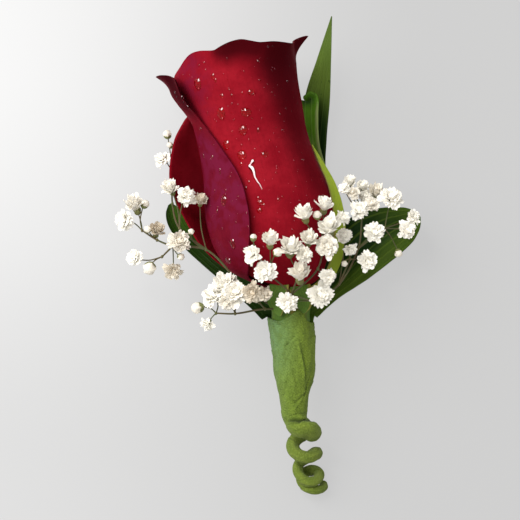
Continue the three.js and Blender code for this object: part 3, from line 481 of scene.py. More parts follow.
LENS = 300
SENSOR = 36
FOCUS_W = 8  # the height at which a pixel is PIXEL wide
FLOOR_GLOW = 0.86  # the share of the floor's brightness that is its own, as on a light table
# The floor's greys are painted light that falls off from the upper left.
FLOOR_GREYS = (0.71, 0.89, 0.60)  # at the lower left, the upper left and the right
FLOOR_REACH = 4  # half its width in metres
WINDOW_AT = (-0.22, 0.34, 1.0)
# Lamps: name, where it stands from the middle of the object, width, power, colour.
LAMPS = [
    ("key", (-0.66, 0.36, 0.82), 0.85, 13.0, (1.0, 0.985, 0.96)),
    ("window", WINDOW_AT, 0.16, 1.6, (1.0, 1.0, 1.0)),
]
SKY = (1.0, 0.99, 0.965, 1)
SKY_STRENGTH = 0.66


def keyed(keys, x, column=1):
    """A smooth value through keys [(x, value, ...), ...], for an array of x."""
    table = np.array([(k[0], k[column]) for k in keys], float)
    xs, ys = table.T
    x = np.clip(np.asarray(x, float), xs[0], xs[-1])
    i = np.clip(np.searchsorted(xs, x) - 1, 0, len(xs) - 2)
    low = np.maximum(np.arange(len(xs)) - 1, 0)
    high = np.minimum(np.arange(len(xs)) + 1, len(xs) - 1)
    slope = (ys[high] - ys[low]) / (xs[high] - xs[low])
    width = xs[i + 1] - xs[i]
    t = (x - xs[i]) / width
    ease = t * t * (3 - 2 * t)
    bend = width * (slope[i] * t * (1 - t) ** 2 - slope[i + 1] * t * t * (1 - t))
    return ys[i] * (1 - ease) + ys[i + 1] * ease + bend


def climb(x, start, long):
    """0 before start, 1 from start + long on, even between; backwards where long is negative."""
    return np.clip((x - start) / long, 0, 1)


def bell(x, middle, wide, power=2):
    """1 at the middle, falling off smoothly on both sides."""
    return np.exp(-(((x - middle) / wide) ** power))


def unit(v):
    return v / np.maximum(np.linalg.norm(v, axis=-1, keepdims=True), 1e-12)


def ring_angles(sides):
    return np.linspace(0, 2 * math.pi, sides, endpoint=False)


def curve(points, t):
    """The centripetal spline through points at the shares t, from 0 to 1."""
    points = np.asarray(points, float)
    last = len(points) - 1
    padded = np.vstack([2 * points[0] - points[1], points, 2 * points[-1] - points[-2]])
    place = np.clip(t, 0, 1) * last
    i = np.minimum(place.astype(int), last - 1)
    w = (place - i)[..., None]
    p0, p1, p2, p3 = (padded[i + k] for k in range(4))
    steps = ((p0, p1), (p1, p2), (p2, p3))
    d0, d1, d2 = (np.sqrt(np.linalg.norm(b - a, axis=-1))[..., None] for a, b in steps)
    m1 = d1 * ((p1 - p0) / d0 - (p2 - p0) / (d0 + d1) + (p2 - p1) / d1)
    m2 = d1 * ((p2 - p1) / d1 - (p3 - p1) / (d1 + d2) + (p3 - p2) / d2)
    return p1 + m1 * w + (3 * (p2 - p1) - 2 * m1 - m2) * w**2 + (2 * (p1 - p2) + m1 + m2) * w**3


def waves(x, y, seed, count=9, low=0.3, high=2.2):
    """A repeatable smooth unevenness, about -1 to 1."""
    draw = np.random.default_rng(seed)
    total = 0
    for _ in range(count):
        a, b = draw.uniform(low, high, 2) * draw.choice([-1, 1], 2)
        total = total + np.sin(a * x + b * y + draw.uniform(0, 2 * math.pi))
    return total / math.sqrt(count) / 1.4


def lay_free(points):
    """U, V, W in millimetres to metres of the model's frame."""
    u, v, w = np.moveaxis(np.asarray(points, float), -1, 0)
    c, s = math.cos(LIE_SLOPE), math.sin(LIE_SLOPE)
    laid = [u + LIE_SHIFT[0], v * c - w * s + LIE_SHIFT[1], v * s + w * c + LIE_HEIGHT]
    return np.stack(laid, -1) * MM


def lay(points):
    """The same, with nothing below the surface it lies on."""
    laid = lay_free(points)
    laid[..., 2] = np.maximum(laid[..., 2], 0)
    return laid


def under_pixel(x, y, W=FOCUS_W):
    """The place of a pixel of the photo's frame at the height W, in metres of the model's frame."""
    return lay_free(((x - PIXEL_ORIGIN[0]) * PIXEL, (PIXEL_ORIGIN[1] - y) * PIXEL, W))


EYE = under_pixel(*FRAME_MIDDLE, FOCUS_W + FRAME_WIDTH * LENS / SENSOR)
UP = np.array([0, math.cos(LIE_SLOPE), math.sin(LIE_SLOPE)])  # up in the photo


def facing(turn, rise):
    """The direction turned away from the viewer's by degrees to +U and up."""
    a, b = math.radians(turn), math.radians(rise)
    return np.array([math.sin(a) * math.cos(b), math.sin(b), math.cos(a) * math.cos(b)])


def bud_point(V, angle, radius):
    """The place at the height V, at an angle in degrees and a radius round the bud's axis."""
    turn = np.radians(angle)
    return np.stack([keyed(BUD, V, 1) + radius * np.sin(turn), V + 0 * turn, radius * np.cos(turn)], -1)


class Form:
    """The mesh of one piece, gathered part by part. grain is kept at each vertex for the materials."""

    def __init__(self):
        self.points, self.grain, self.faces, self.looks = [], [], [], []
        self.count = 0

    def add(self, points, faces, grain, look=0):
        """faces is a list of arrays of quads or triangles. A closed part is turned outwards."""
        volume = 0
        for f in faces:
            a, b, c = (points[f[:, k]] for k in range(3))
            volume += np.einsum("ij,ij->", a, np.cross(b, c))
            if f.shape[1] == 4:
                volume += np.einsum("ij,ij->", a, np.cross(c, points[f[:, 3]]))
        for f in faces:
            turned = f[:, ::-1] if volume < 0 else f
            self.faces.extend((turned + self.count).tolist())
            self.looks.extend([look] * len(f))
        self.points.append(points)
        self.grain.append(grain)
        self.count += len(points)

    def piece(self, name, nodes, materials, sharp=SHARP, laid=lay):
        """Makes the object; laid turns its points into metres of the model's frame."""
        mesh = bpy.data.meshes.new(name)
        mesh.from_pydata(laid(np.vstack(self.points)).tolist(), [], self.faces)
        mesh.polygons.foreach_set("material_index", self.looks)
        grain = mesh.attributes.new("grain", "FLOAT_VECTOR", "POINT")
        grain.data.foreach_set("vector", np.vstack(self.grain).ravel())
        for material in materials:
            mesh.materials.append(material)
        mesh.polygons.foreach_set("use_smooth", [True] * len(self.faces))
        mesh.set_sharp_from_angle(angle=math.radians(sharp))
        mesh.validate()
        made = bpy.data.objects.new(name, mesh)
        bpy.context.scene.collection.objects.link(made)
        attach(made, "root")
        if nodes:
            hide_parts(*nodes)
        return made


def grid(rows, columns):
    """Quads of a sheet of points, rows by columns."""
    a = np.arange(rows - 1)[:, None] * columns + np.arange(columns - 1)
    return np.stack([a, a + 1, a + columns + 1, a + columns], -1).reshape(-1, 4)


def add_sheet(form, place, across, along, tone, look=0):
    """A closed thin body between place(s, t, 0) and place(s, t, 1), s from -1 to 1, t from 0 to 1."""
    s, t = np.meshgrid(np.linspace(-1, 1, across + 1), np.linspace(0, 1, along + 1))
    upper, lower = place(s, t, 0), place(s, t, 1)
    columns, rows = across + 1, along + 1
    half = rows * columns
    top = grid(rows, columns)
    rim = np.concatenate([
        np.arange(columns - 1),
        np.arange(rows - 1) * columns + columns - 1,
        (rows - 1) * columns + np.arange(columns - 1, 0, -1),
        np.arange(rows - 1, 0, -1) * columns,
    ])
    after = np.roll(rim, -1)
    side = np.stack([after, rim, rim + half, after + half], -1)
    grain = np.stack([s, t, tone(s, t)], -1).reshape(-1, 3)
    points = np.concatenate([upper.reshape(-1, 3), lower.reshape(-1, 3)])
    quads = np.concatenate([top, top[:, ::-1] + half, side])
    form.add(points, [quads], np.concatenate([grain, grain]), look)


def frames(points):
    """Two directions across a line at each of its points, turned as little as they can be."""
    ahead = unit(np.gradient(points, axis=0))
    across = []
    direction = np.array([0.0, 0, 1])
    for a in ahead:
        direction = unit(direction - a * (direction @ a))
        across.append(direction)
    across = np.array(across)
    return across, np.cross(ahead, across)


def add_rings(form, rings, grain, look=0, ends=None):
    """A closed body through rings of points, with a point at each end, else in the ring's middle."""
    count, sides = rings.shape[:2]
    j = np.arange(sides)
    after = (j + 1) % sides
    a = np.arange(count - 1)[:, None] * sides
    quads = np.stack([a + j, a + after, a + after + sides, a + j + sides], -1).reshape(-1, 4)
    tail = (count - 1) * sides
    caps = np.concatenate([
        np.stack([after, j, np.full(sides, count * sides)], -1),
        np.stack([tail + j, tail + after, np.full(sides, count * sides + 1)], -1),
    ])
    ends = ends or (rings[0].mean(0), rings[-1].mean(0))
    grain = np.broadcast_to(np.asarray(grain, float), rings.shape).reshape(-1, 3)
    grain = np.vstack([grain, grain[0], grain[tail]])
    form.add(np.vstack([rings.reshape(-1, 3), *ends]), [quads, caps], grain, look)


def add_tube(form, points, radii, sides, grain=(0, 0, 0), look=0):
    """A closed tube along a line of points."""
    across, other = frames(points)
    angle = ring_angles(sides)[:, None]
    radii = np.broadcast_to(np.asarray(radii, float), len(points))[:, None, None]
    rings = points[:, None] + radii * (across[:, None] * np.cos(angle) + other[:, None] * np.sin(angle))
    add_rings(form, rings, grain, look)


class Look:
    """A material made of nodes round one Principled shader."""

    def __init__(self, name, **sockets):
        self.material = bpy.data.materials.new(name)
        self.material.use_nodes = True
        self.tree = self.material.node_tree
        self.tree.nodes.clear()
        self.shader = self.add("ShaderNodeBsdfPrincipled")
        self.set(self.shader, {k.replace("_", " "): v for k, v in sockets.items()})
        self.output = self.add("ShaderNodeOutputMaterial", {"Surface": self.shader.outputs[0]})

    def set(self, node, inputs):
        for key, value in inputs.items():
            if isinstance(value, bpy.types.NodeSocket):
                self.tree.links.new(value, node.inputs[key])
            else:
                node.inputs[key].default_value = value

    def add(self, kind, inputs=None, **settings):
        node = self.tree.nodes.new(kind)
        for key, value in settings.items():
            setattr(node, key, value)
        self.set(node, inputs or {})
        return node

    def grain(self):
        """The three numbers kept at each vertex."""
        kept = self.add("ShaderNodeAttribute", attribute_name="grain")
        return self.add("ShaderNodeSeparateXYZ", {0: kept.outputs["Vector"]}).outputs

    def at(self):
        """The object's own place, as one vector."""
        return self.add("ShaderNodeTexCoord").outputs["Object"]

    def axes(self):
        return self.add("ShaderNodeSeparateXYZ", {0: self.at()}).outputs

    def along(self, x, y):
        return self.add("ShaderNodeCombineXYZ", {0: x, 1: y}).outputs[0]

    def maths(self, operation, a, b=0.0):
        return self.add("ShaderNodeMath", {0: a, 1: b}, operation=operation).outputs[0]

    def times(self, a, b):
        return self.maths("MULTIPLY", a, b)

    def plus(self, a, b):
        return self.maths("ADD", a, b)

    def noise(self, vector, scale, detail=3.0, roughness=0.5):
        inputs = {"Vector": vector, "Scale": scale, "Detail": detail, "Roughness": roughness}
        return self.add("ShaderNodeTexNoise", inputs).outputs[0]

    def cloud(self, scale, detail=3.0, roughness=0.5):
        """Noise by the object's own place."""
        return self.noise(self.at(), scale, detail, roughness)

    def ramp(self, value, low=0.0, high=1.0, to=(0.0, 1.0)):
        inputs = {"Value": value, "From Min": low, "From Max": high, "To Min": to[0], "To Max": to[1]}
        return self.add("ShaderNodeMapRange", inputs, interpolation_type="SMOOTHSTEP").outputs[0]

    def mix(self, share, a, b):
        node = self.add("ShaderNodeMix", data_type="RGBA")
        a, b = (x if isinstance(x, bpy.types.NodeSocket) else (*x, 1.0) for x in (a, b))
        self.set(node, {0: share, 6: a, 7: b})
        return node.outputs[2]

    def paint(self, colour, *coats):
        """Lays coats over a colour: by which value, where it starts and is full, its share, its tint."""
        for value, start, full, share, tint in coats:
            colour = self.mix(self.ramp(value, start, full, (0.0, share)), colour, tint)
        return colour

    def finish(self, colour=None, roughness=None, height=None, depth=0.05, strength=1.0):
        """Links what the nodes made; depth is the relief in millimetres."""
        made = {"Base Color": colour, "Roughness": roughness}
        if height is not None:
            inputs = {"Strength": strength, "Distance": depth * MM, "Height": height}
            made["Normal"] = self.add("ShaderNodeBump", inputs).outputs[0]
        self.set(self.shader, {key: value for key, value in made.items() if value is not None})
        return self.material


def petal_look(name, crimson, violet, dark):
    """Velvet petal: grain is the place across, the height and how violet (up to 1) or dark (down
    to -1) the spot is. The violet is partly painted sheen and the dark is painted shade."""
    look = Look(name, Sheen_Weight=0.12, Sheen_Roughness=0.4, Sheen_Tint=(1.0, 0.02, 0.08, 1),
                Specular_IOR_Level=0.004)
    across, along, tone = look.grain()
    bright, dull, deep = (tuple(share * c + more for c in crimson)
                          for share, more in ((1.08, 0.002), (0.86, 0), (0.5, 0)))
    streak = look.noise(look.along(look.times(across, 26.0), look.times(along, 1.6)), 2.2)
    cloud = look.cloud(140.0, 4.0)
    fine = look.cloud(900.0, 3.0, 0.7)
    patch = look.ramp(look.cloud(330.0), 0.4, 0.6, (0.35, 1.1))
    colour = look.paint(bright, (cloud, 0.36, 0.64, 1.0, dull), (fine, 0.4, 0.7, 0.25, deep))
    # Violet where grain says so: partly painted sheen.
    colour = look.mix(look.times(look.ramp(tone), patch), colour, violet)
    # Dark where grain is below 0: painted shade; the streaks darken too.
    colour = look.paint(colour, (tone, 0.0, -1.0, 1.0, dark), (streak, 0.42, 0.85, 0.14, dark))
    velvet = look.cloud(3200.0, 2.0)
    height = look.plus(look.times(streak, 0.7), look.times(velvet, 0.45))
    return look.finish(colour, look.ramp(cloud, 0.3, 0.7, (0.42, 0.6)), height, 0.06, 0.5)


def green_look(name, base, light, dark, veins, vein_shade, roughness=0.42, sheen=0.0, edge=None):
    """Leaf or sepal: parallel veins; grain says where it is paler (up to 1) or darker (down to -1)."""
    look = Look(name, Specular_IOR_Level=0.09, Sheen_Weight=sheen, Sheen_Roughness=0.5)
    across, along, tone = look.grain()
    lines = look.ramp(look.maths("SINE", look.times(across, math.pi * veins)), 0.55, 1.0)
    fine = look.noise(look.along(look.times(across, 14.0 * veins), along), 2.0, 2.0)
    cloud = look.cloud(110.0, 4.0)
    freckle = look.cloud(620.0, 1.0)
    colour = look.paint(
        base,
        (cloud, 0.45, 0.85, 0.3, dark),
        (fine, 0.5, 0.75, 0.3, light),
        (freckle, 0.72, 0.78, 0.6, dark),
        (tone, 0.0, 1.0, 1.0, light),
        (tone, 0.0, -1.0, 1.0, dark),
    )
    colour = look.mix(look.times(lines, vein_shade), colour, light)
    if edge:
        colour = look.paint(colour, (across, -0.6, -0.95, 0.9, edge))
    height = look.plus(lines, look.times(fine, 0.6))
    rough = look.ramp(cloud, 0.3, 0.7, (roughness - 0.07, roughness + 0.1))
    return look.finish(colour, rough, height, 0.12, 0.6)


def floret_look():
    """White petals, a greenish beige deep inside as painted shade, and creamier where grain says so."""
    look = Look("floret_petals", Specular_IOR_Level=0.1, Subsurface_Weight=0.1,
                Subsurface_Scale=0.6 * MM, Subsurface_Radius=(1.0, 1.0, 1.0))
    across, along, tone = look.grain()
    deep, white, cream = (0.68, 0.63, 0.38), (1.0, 0.975, 0.9), (0.60, 0.50, 0.36)
    # deep: painted shade at the foot of the petals.
    colour = look.paint(deep, (along, 0.0, 0.55, 1.0, white), (tone, 0.0, 1.0, 0.85, cream))
    crease = look.noise(look.along(look.times(across, 3.0), along), 2.4, 2.0)
    return look.finish(colour, look.ramp(crease, 0.3, 0.7, (0.5, 0.75)), crease, 0.06, 0.5)


def twig_look():
    """Thin stems and calyces: green and brown, paler at the knots and on the calyces."""
    look = Look("floret_stems", Specular_IOR_Level=0.35)
    green, brown, pale = (0.072, 0.085, 0.028), (0.092, 0.068, 0.028), (0.221, 0.238, 0.0765)
    _, _, tone = look.grain()
    cloud = look.cloud(260.0)
    colour = look.paint(green, (cloud, 0.38, 0.62, 1.0, brown), (tone, 0.0, 1.0, 1.0, pale))
    return look.finish(colour, look.ramp(cloud, 0.3, 0.7, (0.5, 0.7)), cloud, 0.05, 0.4)


def tape_look():
    """Crepe stem tape: fine crinkles round it and along it, mottled, with pale flecks that are partly
    painted highlight, painted shade in the folds, bluer at the upper left of the handle and yellower at
    its right as painted cool and warm light, yellower also on the curl."""
    look = Look("crepe_tape", Specular_IOR_Level=0.1, Sheen_Weight=0.05, Sheen_Roughness=0.6)
    around, along, fold_shade = look.grain()
    warp = look.noise(look.along(around, along), 0.9)
    ribs = look.maths("SINE", look.plus(look.times(along, 8.5), look.times(warp, 30.0)))
    threads = look.maths("SINE", look.plus(look.times(around, 6.0), look.times(warp, 34.0)))
    weave = look.times(ribs, threads)
    patch = look.noise(look.along(around, look.times(along, 0.5)), 0.7, 4.0, 0.6)
    # Pale flecks on the crinkles: partly painted highlight.
    fleck = look.noise(look.along(around, look.times(along, 2.2)), 2.6, 5.0, 0.65)
    x, y, _ = look.axes()
    # Painted light: bluish where cool light falls at the upper left, yellowish where warm light falls at
    # the right.
    bluish, green, yellowish = (0.14, 0.264, 0.102), (0.14, 0.221, 0.0323), (0.166, 0.238, 0.0204)
    olive, dull, light = (0.155, 0.185, 0.03), (0.0765, 0.128, 0.0102), (0.255, 0.34, 0.0765)
    # darkest: painted shade for the folds.
    deep, darkest = (0.0425, 0.0765, 0.0102), (0.0255, 0.0425, 0.0051)
    colour = look.paint(
        bluish,
        (y, -0.020, -0.036, 1.0, green),
        (x, 0.0005, 0.0095, 1.0, yellowish),
        (y, -0.038, -0.044, 0.5, olive),
        (patch, 0.42, 0.62, 0.45, dull),
        (fleck, 0.42, 0.72, 0.55, light),
        (weave, 0.5, -0.5, 0.16, deep),
        (fold_shade, 0.0, 1.0, 0.85, darkest),
    )
    fine = look.plus(look.times(ribs, 0.45), look.times(weave, 0.2))
    height = look.plus(fine, look.times(fleck, 2.2))
    return look.finish(colour, look.ramp(fleck, 0.3, 0.7, (0.7, 0.9)), height, 0.12, 0.9)


def wire_look():
    """Green enamelled florist's wire."""
    look = Look("enamelled_wire", Metallic=0.6, Specular_IOR_Level=0.5)
    enamel, worn = (0.09, 0.17, 0.08), (0.25, 0.28, 0.22)
    drawn_out = look.add("ShaderNodeMapping", {"Vector": look.at(), "Scale": (1, 1, 6)}).outputs[0]
    scratch = look.noise(drawn_out, 900.0)
    colour = look.paint(enamel, (scratch, 0.45, 0.7, 1.0, worn))
    return look.finish(colour, look.ramp(scratch, 0.3, 0.7, (0.3, 0.5)), scratch, 0.02, 0.4)


def water_look():
    """Clear water that lets most of the lamps' light through to the petal."""
    look = Look("water", Base_Color=(0.74, 0.10, 0.14, 1), Roughness=0.04, IOR=1.33,
                Transmission_Weight=1.0, Specular_IOR_Level=0.25)
    clear = look.add("ShaderNodeBsdfTransparent", {"Color": (0.80, 0.66, 0.66, 1)})
    lamp = look.add("ShaderNodeLightPath").outputs["Is Shadow Ray"]
    both = look.add("ShaderNodeMixShader", {0: lamp, 1: look.shader.outputs[0], 2: clear.outputs[0]})
    look.set(look.output, {"Surface": both.outputs[0]})
    return look.material


def painted_spark_look(name, colour):
    """A painted highlight: the bright spot that a lamp would make on a drop, as a pale lens of its own.
    """
    look = Look(name, Base_Color=colour, Specular_IOR_Level=0.3)
    return look.finish(None, look.ramp(look.cloud(2400.0, 1.0), 0.3, 0.7, (0.1, 0.3)))


def rose():
    """Four outer petals, the spiral of inner ones darkened as painted shade, and the solid heart, dark as
    painted shade.
    """
    form = Form()
    for k, petal in enumerate(OUTER_PETALS):
        tip = petal["tip"]

        def spot(s, row):
            """Share of the height, how far the tip pulls, V and the angle round the bud."""
            t = 1 - (1 - row) ** 1.4
            near = climb(t, 1 - tip["deep"], tip["deep"]) ** tip["power"]
            pull = bell(s, tip["at"], tip["width"]) * near
            V = petal["foot"] + (keyed(petal["rim"], s) - petal["foot"]) * t
            return t, pull, V, petal["turn"] + s * keyed(petal["half"], V)

        def place(s, row, depth):
            t, pull, V, angle = spot(s, row)
            lift = keyed(petal["lift"], V) * climb(s, -0.3, 1.3) ** 2
            edge = climb(np.abs(s), 0.82, 0.18) ** 2 * climb(V, 10, 8)
            roll = climb(t, ROLL_FROM, 1 - ROLL_FROM) ** 2
            uneven = waves(s * 5, t * 5, 40 + k) * PETAL_UNEVEN * np.clip(t * 3, 0, 1)
            ripple = waves(s * 7, 0 * t, 60 + k, 5) * roll * RIM_RIPPLE
            flare = keyed(petal["flare"], V)
            if k == FRONT:
                front = climb(angle, 80, -30)
                flare = flare * front
                roll = roll * climb(angle, -30, 14) * front
                dent = bell(angle + 24 - 0.8 * (67 - V), 0, 6) * climb(V, 56, 9)
                uneven = uneven + BULGE * bell(angle, -85, 35) * bell(V, 57.5, 4)
                uneven = uneven + keyed(RIGHT_SWELL, V) * bell(angle, 88, 32) - DENT * dent
            radius = keyed(BUD, V, 2) + petal["stand"] + flare + lift + tip["reach"] * pull
            radius = radius + SIDE_OFF * edge + petal["roll"] * roll * (1 - pull) + uneven + ripple
            drop = 0.35 * petal["roll"] * roll**2 * (1 - pull)
            return bud_point(V + tip["rise"] * pull - drop, angle, radius - depth * PETAL_THICKNESS)

        def tone(s, row):
            """How violet (up to 1) or dark (down to -1) the petal is."""
            t, _, V, angle = spot(s, row)
            if k == FRONT:
                # Painted sheen: violet at the upper left of the front petal, where light from the upper
                # left grazes it.
                left = bell(angle, -52, 24) * climb(V, 42, 14)
                # Painted shade: the right flank, turned away from the light, darkens.
                deep = 0.42 + 0.25 * climb(V, 22, 26) + 0.22 * climb(V, 50, 12)
                far = climb(angle, 0.9 * (62 - np.minimum(V, 62)) - 6, 42)
                right = deep * far * far * (3 - 2 * far)
                # Painted shade under the rim, where it rolls out.
                start = 0.97 - 0.1 * climb(angle, -42, 32)
                rim = climb(t, start, 0.08) * climb(angle, -42, 22)
                rim = rim * (0.85 - 0.15 * climb(angle, -10, 40))
                return np.clip(0.75 * left - np.maximum(right, rim), -1, 1)
            if k == VIOLET:
                # Violet face: partly the colour of the petal's back, partly painted sheen. Darker toward
                # the rolled top and rim: partly the darker inner face rolled over, partly painted shade.
                bloom = (0.85 - 0.45 * climb(V, 30, -16)) * climb(V, 51, -9)
                return np.clip(bloom - 0.8 * climb(V, 44, 7) - climb(t, 0.86, 0.12), -1, 1)
            # The back petal is a little darker as painted shade; the petal at the left is a touch violet.
            return 0 * t + (-0.05 if k == BACK else 0.05)

        add_sheet(form, place, *PETAL_GRID, tone, look=int(k == VIOLET))
    for k in range(INNER_PETALS):

        def place(s, t, depth):
            angle = INNER_TURN * (k + 1) + s * INNER_HALF
            low = INNER_LOW * bell(np.mod(angle + 85 + 180, 360), 180, 36)
            V = INNER_FOOT + (INNER_RIM - 0.2 * k - 1.7 * s * s - low - INNER_FOOT) * t
            V = V + 0.25 * waves(s * 6, 0 * t, 80 + k, 4) * t
            radius = INNER_RADIUS - INNER_STEP * (k + 0.45 * s) + 0.9 * t**5 - depth * INNER_THICKNESS
            return bud_point(V, angle, np.maximum(radius, 0.35 - 0.25 * depth))

        # Inner petals are darker: painted shade inside the bud.
        add_sheet(form, place, *INNER_GRID, lambda s, t: -0.25 + 0 * t)
    # The solid heart is dark as painted shade inside the bud.
    core = [(V, CORE_INSET) for V in CORE_HEIGHTS] + [(CORE_TOP, CORE_TOP_INSET)]
    angle = np.linspace(0, 360, CORE_SIDES, endpoint=False)
    rings = [bud_point(V + 0 * angle, angle, keyed(BUD, V, 2) - inset) for V, inset in core]
    add_rings(form, np.array(rings), (0, 0.5, -0.8))
    looks = [petal_look("petal_crimson", *RED_PETALS), petal_look("petal_violet", *VIOLET_PETAL)]
    return form.piece("rose_petals", ["rose_bloom"], looks)


def water(petals):
    """Domes of water on the petals, a run of water, fine dew all round, and on each a spark, a painted
    highlight.
    """
    mesh = petals.data
    tree = BVHTree.FromPolygons([v.co for v in mesh.vertices], [p.vertices for p in mesh.polygons])
    shine = unit(unit(EYE) + unit(np.array(WINDOW_AT)))
    side = unit(np.cross(UP, shine))
    over = np.cross(shine, side)
    form = Form()
    turned = np.random.default_rng(7)

    def dome(start, ahead, wide, tall, sides, rings, spark, stroke=SPARK_STROKE):
        """A drop where a ray meets the petals; wide and tall are its half sizes in pixels."""
        hit, normal, _, _ = tree.ray_cast(Vector(start), Vector(ahead))
        if hit is None:
            return
        normal = np.array(normal)
        if normal @ ahead > 0:
            normal = -normal
        hit = np.array(hit) - normal * SINK * MM
        up = unit(UP - normal * (UP @ normal))
        right = np.cross(up, normal)
        wide, tall = wide * PIXEL * MM, tall * PIXEL * MM
        high = DROP_HIGH * min(wide, tall) + SINK * MM
        a = ring_angles(sides)[:, None]
        sag = 1 + DROP_SAG * np.maximum(0, -np.sin(a))
        foot = right * wide * np.cos(a) + up * tall * sag * np.sin(a)
        lift = (math.pi / 2 * np.arange(rings) / rings)[:, None, None]
        body = hit + np.cos(lift) * foot + np.sin(lift) * high * normal
        add_rings(form, body, 0, 0, (hit, hit + normal * high))
        bright = np.array([shine @ right * wide, shine @ up * tall, shine @ normal * high])
        if spark <= 0 or bright[2] <= 0:
            return
        bright = unit(bright)
        size = spark * math.sqrt(wide * tall)
        at = hit + right * bright[0] * wide + up * bright[1] * tall + normal * bright[2] * high
        glint(at, size, stroke, turned.normal(0.3, 0.5))
        if stroke > 1 and wide > LARGE_DROP * PIXEL * MM:
            # A second, smaller painted highlight low on a large drop.
            at = hit + 0.72 * (0.4 * right * wide - up * tall) + normal * high * 0.62
            glint(at, 0.45 * size, stroke, turned.normal(1.2, 0.4))

    def glint(at, size, stroke, turn):
        """A painted highlight: a small closed pale lens that faces between the eye and the window."""
        a = ring_angles(SPARK_SIDES)[:, None]
        ring = at + size / stroke * np.cos(a) * (side * math.cos(turn) + over * math.sin(turn))
        ring = ring + size * stroke * np.sin(a) * (over * math.cos(turn) - side * math.sin(turn))
        ends = (at - shine * 0.4 * size, at + shine * 0.25 * size)
        add_rings(form, ring[None], 0, 1 if size > FAINT_SPARK * MM else 2, ends)

    def seen(x, y, *shape):
        dome(EYE, unit(under_pixel(x, y) - EYE), *shape)

    for x, y, wide, tall in DROPS:
        large = wide > LARGE_DROP
        grown, spark = (LARGE_GROWN, LARGE_SPARK) if large else (SMALL_GROWN, SMALL_SPARK)
        seen(x, y + DROP_LOWER * grown * tall, grown * wide, grown * tall, *DROP_GRID, spark)
    line = curve([(x, y, 0) for x, y, _ in RUN], np.linspace(0, 1, RUN_STEPS))
    widths = np.interp(np.linspace(0, len(RUN) - 1, RUN_STEPS), range(len(RUN)), [r[2] for r in RUN])
    for (x, y, _), wide in zip(line, RUN_GROWN * widths):
        seen(x, y, wide, wide, *RUN_GRID, RUN_SPARK, 1.0)
    draw = np.random.default_rng(11)
    for _ in range(DEW):
        V, angle = draw.uniform(*DEW_HEIGHTS), draw.uniform(-DEW_TURN, DEW_TURN)
        start = lay_free(bud_point(V, angle, DEW_FROM))
        ahead = unit(lay_free(bud_point(V, angle, 0)) - start)
        size = float(np.clip(draw.lognormal(-0.75, 0.35), *DEW_SIZES))
        spark = DEW_SPARK if size > DEW_BRIGHT else 0
        dome(start, ahead, size, size * draw.uniform(0.9, 1.3), *DEW_GRID, spark)
    looks = [water_look(), painted_spark_look("water_painted_spark", (0.96, 0.70, 0.74, 1)),
             painted_spark_look("faint_painted_spark", (0.80, 0.24, 0.34, 1))]
    form.piece("water_drops", [], looks, laid=np.asarray)


def blade_place(line, widths, face, trough, thickness, seed, wave=0.12, left=None):
    """The place function of a thin blade along a line, facing the given way."""

    def place(s, t, depth):
        step = 1e-3
        ahead = unit(curve(line, np.minimum(t + step, 1)) - curve(line, np.maximum(t - step, 0)))
        side = unit(np.cross(ahead, face))
        up = unit(np.cross(side, ahead))
        half = np.where(s < 0, keyed(left or widths, t), keyed(widths, t))
        dip = trough * half * (s * s - 0.5)
        dip = dip + wave * waves(s * 2, t * 9, seed, 5) * np.clip(half / 2, 0, 1)
        lift = dip + (0.5 - depth) * thickness * (1 - 0.45 * s * s)
        return curve(line, t) + side * (s * half)[..., None] + up * lift[..., None]

    return place


def leaf(name):
    """One leaf, in its own greens."""
    data = LEAVES[name]
    form = Form()
    place = blade_place(data["line"], data["widths"], data["face"], data["trough"], LEAF_THICKNESS,
                        sum(map(ord, name)), left=data.get("left"))

    def shade(s, t):
        return sum(amount * bell(t, t0, long, 4) * bell(s, s0, wide)
                   for t0, s0, long, wide, amount in data["patches"])

    add_sheet(form, place, *LEAF_GRID, shade)
    look = green_look(name + "_green", *data["greens"], data["veins"], data["vein_shade"])
    form.piece("blade_" + name, [name], [look])


def calyx():
    """The receptacle with the cut stem, and five sepals."""
    form = Form()
    foot, top = RECEPTACLE[0][0], RECEPTACLE_TOP
    V = np.linspace(foot, top, RECEPTACLE_GRID[0])[:, None]
    angle = ring_angles(RECEPTACLE_GRID[1])
    U, radius = keyed(RECEPTACLE, V, 1), keyed(RECEPTACLE, V, 2) * (1 + 0.03 * np.cos(5 * angle))
    rings = np.broadcast_arrays(U + radius * np.sin(angle), V, radius * np.cos(angle))
    grain = np.broadcast_arrays(angle / math.pi - 1, (V - foot) / (top - foot), 0.0)
    add_rings(form, np.stack(rings, -1), np.stack(grain, -1))
    for k, sepal in enumerate(SEPALS):
        first, middle, last = sepal["widths"]
        widths = [(0, first), (0.5, middle), (0.8, 0.45 * (middle + last)), (1, last * 0.3)]
        rows, pale = LONG_SEPAL if k == 0 else SHORT_SEPAL
        shape = (sepal["line"], widths, sepal["face"], SEPAL_TROUGH, SEPAL_THICKNESS)
        place = blade_place(*shape, 200 + k, 0.1)
        add_sheet(form, place, SEPAL_COLUMNS, rows, lambda s, t: pale + 0 * t)
    look = green_look("calyx_green", *SEPAL_COLOURS, SEPAL_VEINS, 0.12, 0.45, 0.05, SEPAL_EDGE)
    form.piece("rose_calyx", ["rose_stem"], [look])


def flower_place(foot, face, roll=0.0):
    """The place round the axis of a flower, from a radius, an angle and a height over its foot."""
    x = unit(np.cross((0, 1, 0) if abs(face[1]) < 0.9 else (1, 0, 0), face))
    y = np.cross(face, x)

    def put(radius, angle, height):
        around = np.cos(angle + roll)[..., None] * x + np.sin(angle + roll)[..., None] * y
        return foot + np.asarray(radius)[..., None] * around + (height + 0 * angle)[..., None] * face

    return put


